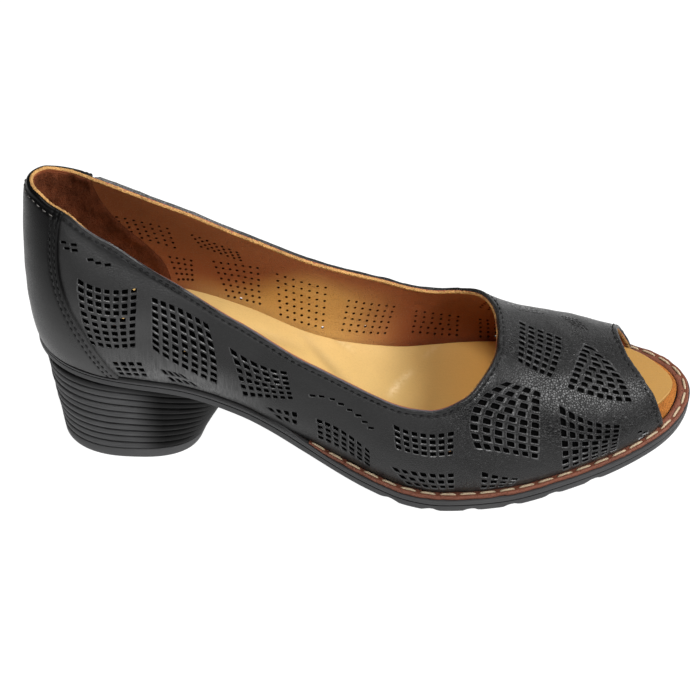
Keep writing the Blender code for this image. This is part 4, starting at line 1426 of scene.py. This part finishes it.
def make_sock(sizes, colours):
    """Sock: cross sections from the outer edge to the inner edge, raised a little at the rim, with
    a few creases, and a torn front edge that leaves the board bare."""
    station = 0.0006 + eased(240, 0.92) * (1.0 - 0.0012)
    across = np.linspace(-1.0, 1.0, 91)
    across = np.sign(across) * (1.0 - (1.0 - np.abs(across)) ** 1.4)
    along = LAST(station)[:, 0] / LAST_LENGTH
    random = np.random.default_rng(SEED)
    phase = random.uniform(0.0, 6.28, 6)
    arc = station * 2000.0
    torn = sum(np.sin(arc * k * 0.17 + phase[k]) / k for k in range(1, 6)) * SOCK_TORN
    torn = torn * smoothstep(along, 0.955, 0.985)
    inner_out = -(WALL + WALL_GAP) - 0.0020 * smoothstep(along, 0.92, 0.995) + torn
    outer_out = -(WALL + WALL_GAP) - 0.0048 * smoothstep(along, 0.93, 0.985) - 0.7 * torn
    last_out = -0.0040
    blend = smoothstep(station, 0.93, 1.0)
    inner_out = inner_out * (1 - blend) + last_out * blend
    outer_out = outer_out * (1 - blend) + last_out * blend
    outer_edge = outline(station, outer_out)
    inner_edge = outline(-station, inner_out)
    mix = (across[None, :, None] + 1.0) / 2.0
    plan = outer_edge[:, None] * (1.0 - mix) + inner_edge[:, None] * mix
    x = plan[..., 0]
    half = np.linalg.norm(inner_edge - outer_edge, axis=-1)[:, None] / 2.0
    to_rim = half * (1.0 - np.abs(across))[None]
    base = feather_height(x) + BOARD_RISE + MEETING_GAP
    inside = smoothstep(across, -0.2, 0.6)[None]
    curl = (0.0004 + 0.0007 * inside) * np.exp(-to_rim / (0.0022 + 0.003 * inside))
    curl = curl * (1.0 - smoothstep(along, 0.80, 0.92))[:, None]
    top = base + INSOLE_THICKNESS + curl - 0.0006 * rounded(to_rim, 0.0006)
    creases = crease_field(plan, SOCK_CREASES)
    heel_dish = np.hypot((x - 0.032) / 0.026, plan[..., 1] / 0.018)
    top = top + creases - 0.0003 * bell(heel_dish, 1.0)
    upper = np.concatenate([plan, top[..., None]], axis=-1).reshape(-1, 3)
    lower = np.concatenate([plan, base[..., None]], axis=-1).reshape(-1, 3)
    points, faces = shell(upper, lower, grid_quads(numbered(top.shape)))

    def shade(leather):
        """Painted shade: a warmer, deeper tan under the vamp, and deeper again in the toe opening.
        """
        forward = leather.along("X")
        toe = colours.sock_in_shade
        deep = leather.mix(forward.above(0.155, 0.185), toe, darker(toe, 0.4))
        return forward.above(0.098, 0.140) * 0.85, deep

    scuff, fold = np.zeros((2, 2) + top.shape)
    scuff[0] = np.clip(crease_field(plan, SOCK_SCUFFS), 0.0, 1.0)
    # Painted shade in the troughs of the creases
    fold[0] = np.clip(-creases / 0.0006, 0.0, 1.0)
    finish = tan_leather(
        "sock_leather", colours.sock, darker(colours.sock, 0.8), pores=0.2, roughness=0.42,
        shade=shade, marks_and_painted_light=True,
    )
    sock = new_piece("sock", points, faces, finish, "sock_leather", 0.9, scuff=scuff, fold=fold)
    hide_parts("insole")


def make_board(sizes, colours):
    """Fibre board under the sock, bare at the toe."""
    stations = ring_stations(150)
    out = np.full(stations.shape, -(WALL + WALL_GAP))
    levels = (
        (0.0, lambda x: outsole_top(x) + MEETING_GAP),
        (0.0, lambda x: feather_height(x) + BOARD_RISE - 0.0003),
        (-0.0002, lambda x: feather_height(x) + BOARD_RISE),
    )
    points, faces = plate([plan_ring(stations, out + pull, height) for pull, height in levels])
    finish = suede("board", colours.board, darker(colours.board, 0.55))
    board = new_piece("insole_board", points, faces, finish, "board", 0.9)
    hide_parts("midsole")


def welt_path(count):
    start = float(station_at(WELT_START))
    return np.linspace(start, 2.0 - start, count)


def make_welt(sizes, colours):
    """Welt: a rounded strip round the forefoot with a trough for its thread."""
    stations = welt_path(420)
    grown = sole_margin(LAST(stations)[:, 0]) / FORE_MARGIN
    profile = (
        (-WALL, 0.0), (WELT_MARGIN - 0.0002, 0.0), (WELT_MARGIN, 0.35), (WELT_MARGIN, 0.70),
        (WELT_MARGIN - 0.0003, 0.92), (WELT_MARGIN - 0.0007, 1.0), (0.0012, 0.86), (0.0007, 0.78),
        (0.0001, 0.88), (-0.0004, 1.0), (-0.0010, 1.04), (-WALL + 0.0002, 0.95), (-WALL, 0.7),
    )
    rng = np.random.default_rng(SEED)
    ragged = np.convolve(rng.normal(0.0, RAGGED_WELT, len(stations) + 4), np.ones(5) / 5, "valid")
    rails = []
    for out, level in profile:
        out_here = np.where(out > 0.0, out * grown, out) + (ragged if out > 0.0018 else 0.0)
        edge = outline(stations, out_here)
        low = outsole_top(edge[:, 0]) + MEETING_GAP * 0.5
        high = feather_height(edge[:, 0]) - MEETING_GAP
        rails.append(np.column_stack([edge, low + level * (high - low)]))
    points, faces = carried(np.array(rails))
    deep = darker(colours.welt, 0.45)
    finish = tan_leather("welt_leather", colours.welt, deep, pores=1.0, roughness=0.6)
    welt = new_piece("welt_strip", points, faces, finish, "welt_leather", 0.9)
    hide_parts("welt")

    fine = welt_path(4001)
    grown = sole_margin(LAST(fine)[:, 0]) / FORE_MARGIN
    edge = outline(fine, 0.0007 * grown)
    line = np.column_stack([edge, feather_height(edge[:, 0]) - MEETING_GAP - 0.0001])
    length = lengths(line)
    count = int(round(length[-1] / sizes.welt_pitch))
    at = np.interp((np.arange(count) + 0.5) / count * length[-1], length, np.arange(len(fine)))
    at = np.round(at).astype(int)
    along = unit(np.gradient(line, axis=0))[at]
    side = unit(np.cross(along, np.array([0.0, 0.0, 1.0])))
    up = np.cross(side, along)
    points, faces = threads(
        line[at], along, up, sizes.welt_pitch * 0.86, sizes.welt_thread, bow=0.15, sides=8, rings=9
    )
    finish = thread("welt_thread", colours.welt_thread, darker(colours.welt_thread, 0.7))
    new_piece("stitches_welt", points, faces, finish, "welt_leather", 1.2)


def notches(x):
    """1 in the gaps between the lugs and 0 under the lugs, rounded at each gap's sides."""
    centres = LUG_FIRST + LUG_PITCH * np.arange(LUG_GAPS)
    gap = np.abs(np.asarray(x)[..., None] - centres).min(axis=-1)
    return 1.0 - smoothstep(gap, LUG_GAP * 0.25, LUG_GAP * 1.1)


def make_outsole(sizes, colours):
    """Outsole: rings up its side with a groove, rounded edges, and notches between its lugs."""
    stations = ring_stations(240, 0.5)
    margin = sole_margin(LAST(stations)[:, 0])
    rings, grooves = [], []
    rear = 1.0 - smoothstep(LAST(stations)[:, 0], WELT_START - 0.02, WELT_START)
    for up, inset in SOLE_SIDE:
        def height(x, up=up):
            low = underside(x) + LUG_DEPTH * notches(x)
            plain = underside(x) + up * (outsole_top(x) - underside(x))
            fade = np.clip(1.0 - up / 0.45, 0.0, 1.0)
            return plain + (low - underside(x)) * fade

        # Painted shade: dark in the side groove, and in the gap under the upper behind the welt
        grooves.append(np.clip(inset, 0.0, 1.0) * np.where(up > 0.8, rear, up > 0.5))
        deeper = smoothstep(up, 0.80, 0.88) * (rear * (1.0 + REAR_GAP) - 1.0) * max(inset, 0.6)
        drawn = inset + np.where(up > 0.8, deeper, 0.0)
        out = margin - np.maximum(drawn, 0.0) * SIDE_GROOVE_DEPTH
        rings.append(plan_ring(stations, out, height))
    points, faces = plate(rings)
    finish = rubber("sole_rubber", colours.sole, 0.52, grooves=True)
    outsole = new_piece("outsole_body", points, faces, finish, "sole_rubber", 0.9, groove=grooves)
    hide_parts("outsole")


def heel_ring(share, inset, height):
    """One ring of the heel, D-shaped: share is 0 at the floor and 1 at the seat. inset pulls in the
    back and sides, and dies away towards the flat front."""
    turn = np.pi + 2.0 * np.pi * np.arange(HEEL_CORNERS) / HEEL_CORNERS
    cosine = np.cos(turn)
    sine = np.sin(turn)
    square = np.where(cosine < 0.0, HEEL_SQUARE_BACK, HEEL_SQUARE_FRONT)
    radius = (np.abs(cosine) ** square + np.abs(sine) ** square) ** (-1.0 / square)
    back = HEEL_BASE_BACK + share * (HEEL_SEAT_BACK - HEEL_BASE_BACK)
    base_front = HEEL_BASE_BACK + HEEL_BASE_LENGTH
    front = base_front + share * (HEEL_SEAT_BACK + HEEL_SEAT_LENGTH - base_front)
    half = (HEEL_BASE_WIDTH + share * (HEEL_SEAT_WIDTH - HEEL_BASE_WIDTH)) / 2
    forward = np.where(cosine < 0.0, HEEL_MIDDLE - back, front - HEEL_MIDDLE)
    depth = inset * (1.0 - smoothstep(radius * cosine, *HEEL_GROOVE_FADE))
    x = HEEL_MIDDLE + radius * cosine * forward - cosine * depth
    y = radius * sine * half - sine * depth
    return np.column_stack([x, y, height(x)])


def make_heel(sizes, colours):
    """Stacked heel: each layer swells between fine grooves that fade before the flat front."""
    low = TOP_LIFT_THICKNESS + MEETING_GAP
    random = np.random.default_rng(SEED)
    shift = random.uniform(-HEEL_LAYER_SHIFT, HEEL_LAYER_SHIFT, HEEL_GROOVES + 1)
    marks = [(0.0, 0.00035)]
    for number in range(HEEL_GROOVES):
        for share, inset in HEEL_LAYER:
            up = (number + share) / HEEL_GROOVES
            if number or share > 0.1:
                marks.append((up, inset * HEEL_GROOVE_DEPTH + shift[number] * (inset < 0.1)))
    marks.append((1.0, 0.0003))
    rings, grooves = [], []
    for up, depth in marks:
        def height(x, up=up):
            return low + up * (underside(x) - MEETING_GAP - low)

        rings.append(heel_ring((low + up * (HEEL_RISE - low)) / HEEL_RISE, depth, height))
        # Painted shadow close under the sole, and painted shade in the grooves
        shadow_under_sole = 0.75 * smoothstep(up, 0.86, 0.98)       # close under the sole
        black = np.clip(depth / HEEL_GROOVE_DEPTH - 0.15, 0.0, 0.9)
        grooves.append(np.full(HEEL_CORNERS, max(black, shadow_under_sole)))
    points, faces = plate(rings)
    finish = rubber("heel_block", colours.heel, 0.5, shine=0.1, layers=0.6, grooves=True)
    heel = new_piece("heel_stack", points, faces, finish, "heel_block", 0.9, groove=grooves)
    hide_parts("heel")

    edge = TOP_LIFT_EDGE
    marks = (
        (0.0, edge * 1.2), (edge * 0.3, edge * 0.4), (edge, 0.0),
        (TOP_LIFT_THICKNESS - 0.0003, 0.0), (TOP_LIFT_THICKNESS, 0.0003),
    )
    points, faces = plate([
        heel_ring(z / HEEL_RISE, inset, lambda x, z=z: np.full_like(x, z)) for z, inset in marks
    ])
    finish = rubber("top_lift_rubber", colours.heel, 0.6)
    lift = new_piece("top_lift_plate", points, faces, finish, "top_lift_rubber", 0.9)
    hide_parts("top_lift")


# Stage

CAMERA_TARGET = (0.0812, 0.0009, 0.0377)
CAMERA_AZIMUTH = 0.8
CAMERA_ELEVATION = 45.9
CAMERA_ROLL = 1.4
CAMERA_DISTANCE = 0.734
CAMERA_LENS = 102.03
FLOOR_SIDE = 3.0        # half of it
# name, place, target, width, height, watts, colour
LIGHTS = (
    ("key", (0.02, -0.16, 0.92), (0.10, 0.0, 0.03), 0.26, 0.26, 3.75, (1.0, 0.99, 0.97)),
    ("front", (0.05, -0.75, 0.13), (0.06, 0.0, 0.06), 0.9, 0.16, 2.2, (1.0, 1.0, 1.0)),
    ("toe", (0.63, -0.08, 0.61), (0.15, 0.0, 0.04), 0.56, 0.32, 8.4, (1.0, 1.0, 1.0)),
    ("rim", (0.35, 0.75, 0.30), (0.12, 0.0, 0.04), 0.80, 0.30, 1.0, (1.0, 1.0, 1.0)),
)
WORLD_STRENGTH = 0.08


def aim(thing, place_at, target, roll=0.0):
    """Turns a light or camera at place_at so that it looks at target."""
    back = unit(np.array(place_at, float) - np.array(target, float))
    right = unit(np.cross(np.array([0.0, 0.0, 1.0]), back))
    up = np.cross(back, right)
    turned_right = np.cos(roll) * right + np.sin(roll) * up
    turned_up = -np.sin(roll) * right + np.cos(roll) * up
    matrix = np.identity(4)
    matrix[:3] = np.column_stack([turned_right, turned_up, back, place_at])
    thing.matrix_world = Matrix(matrix)


def make_stage(sizes, colours):
    """White floor that shines, four lights and the camera that the photo was fitted with."""
    mesh = bpy.data.meshes.new("studio_floor")
    corners = ((-1, -1), (1, -1), (1, 1), (-1, 1))
    places = [(x * FLOOR_SIDE, y * FLOOR_SIDE, 0.0) for x, y in corners]
    mesh.from_pydata(places, [], [(0, 1, 2, 3)])
    paper = Finish("studio_paper", **{
        "Specular IOR Level": 0.0, "Emission Color": colours.floor, "Emission Strength": 1.0,
    })
    mesh.materials.append(paper.finish(base_color=darker(colours.floor, 0.12), roughness=0.9))
    floor = new_object("studio_floor", mesh)
    for name, where, target, width, height, watts, colour in LIGHTS:
        data = bpy.data.lights.new(name, "AREA")
        data.shape = "RECTANGLE"
        data.size, data.size_y = width, height
        data.energy = watts
        data.color = colour
        aim(new_object(name, data), where, target)
    world = bpy.data.worlds.new("studio")
    world.use_nodes = True
    background = world.node_tree.nodes["Background"]
    background.inputs["Color"].default_value = WHITE
    background.inputs["Strength"].default_value = WORLD_STRENGTH
    bpy.context.scene.world = world
    bpy.context.scene.view_settings.view_transform = "Standard"

    azimuth, elevation, roll = np.radians([CAMERA_AZIMUTH, CAMERA_ELEVATION, CAMERA_ROLL])
    back = np.array([
        np.sin(azimuth) * np.cos(elevation), -np.cos(azimuth) * np.cos(elevation), np.sin(elevation)
    ])
    data = bpy.data.cameras.new("camera")
    data.sensor_width = 36.0
    data.lens = CAMERA_LENS
    data.clip_start = 0.01
    camera = new_object("camera", data)
    aim(camera, np.array(CAMERA_TARGET) + CAMERA_DISTANCE * back, CAMERA_TARGET, roll)
    bpy.context.scene.camera = camera


# Operators, panel and run

class ShoeStep(bpy.types.Operator):
    """Runs the makers of one step"""
    bl_options = {"REGISTER", "UNDO"}
    makers = ()

    def execute(self, context):
        for make in self.makers:
            make(context.scene.shoe_sizes, context.scene.shoe_colours)
        return {"FINISHED"}


class SHOE_OT_stage(ShoeStep):
    """Pale floor, soft lights and the camera"""
    bl_idname = "shoe.stage"
    bl_label = "Stage"
    makers = (make_stage,)


class SHOE_OT_upper(ShoeStep):
    """Outer leather with its cut-outs"""
    bl_idname = "shoe.upper"
    bl_label = "Upper"
    makers = (make_upper,)


class SHOE_OT_lining(ShoeStep):
    """Lining with pinholes, its bare edge, the bead and the heel grip"""
    bl_idname = "shoe.lining"
    bl_label = "Lining"
    makers = (make_lining, make_raw_edge, make_bead, make_grip)


class SHOE_OT_counter(ShoeStep):
    """Back panel"""
    bl_idname = "shoe.counter"
    bl_label = "Counter"
    makers = (make_counter,)


class SHOE_OT_stitching(ShoeStep):
    """Stitch rows on the leather"""
    bl_idname = "shoe.stitching"
    bl_label = "Stitching"
    makers = (make_stitching,)


class SHOE_OT_sock(ShoeStep):
    """Sock and the board under it"""
    bl_idname = "shoe.sock"
    bl_label = "Sock and board"
    makers = (make_sock, make_board)


class SHOE_OT_sole(ShoeStep):
    """Welt with its thread, and the outsole"""
    bl_idname = "shoe.sole"
    bl_label = "Welt and outsole"
    makers = (make_welt, make_outsole)


class SHOE_OT_heel(ShoeStep):
    """Stacked heel and its top lift"""
    bl_idname = "shoe.heel"
    bl_label = "Heel"
    makers = (make_heel,)


STEPS = (
    SHOE_OT_stage, SHOE_OT_upper, SHOE_OT_lining, SHOE_OT_counter, SHOE_OT_stitching, SHOE_OT_sock,
    SHOE_OT_sole, SHOE_OT_heel,
)


class SHOE_PT_panel(bpy.types.Panel):
    """Lists the shoe's sizes, colours and steps"""
    bl_label = "Block heel shoe"
    bl_idname = "SHOE_PT_panel"
    bl_space_type = "VIEW_3D"
    bl_region_type = "UI"
    bl_category = "Shoe"

    def draw(self, context):
        for group in (context.scene.shoe_sizes, context.scene.shoe_colours):
            box = self.layout.box()
            for name in group.__annotations__:
                box.prop(group, name)
        for step in STEPS:
            self.layout.operator(step.bl_idname)


CLASSES = (ShoeSizes, ShoeColours, *STEPS, SHOE_PT_panel)


def register():
    for cls in CLASSES:
        bpy.utils.register_class(cls)
    bpy.types.Scene.shoe_sizes = bpy.props.PointerProperty(type=ShoeSizes)
    bpy.types.Scene.shoe_colours = bpy.props.PointerProperty(type=ShoeColours)


def unregister():
    del bpy.types.Scene.shoe_sizes
    del bpy.types.Scene.shoe_colours
    for cls in reversed(CLASSES):
        bpy.utils.unregister_class(cls)


def main():
    register()
    bpy.ops.shoe.stage()
    bpy.ops.shoe.upper()
    bpy.ops.shoe.lining()
    bpy.ops.shoe.counter()
    bpy.ops.shoe.stitching()
    bpy.ops.shoe.sock()
    bpy.ops.shoe.sole()
    bpy.ops.shoe.heel()


if __name__ == "__main__":
    main()
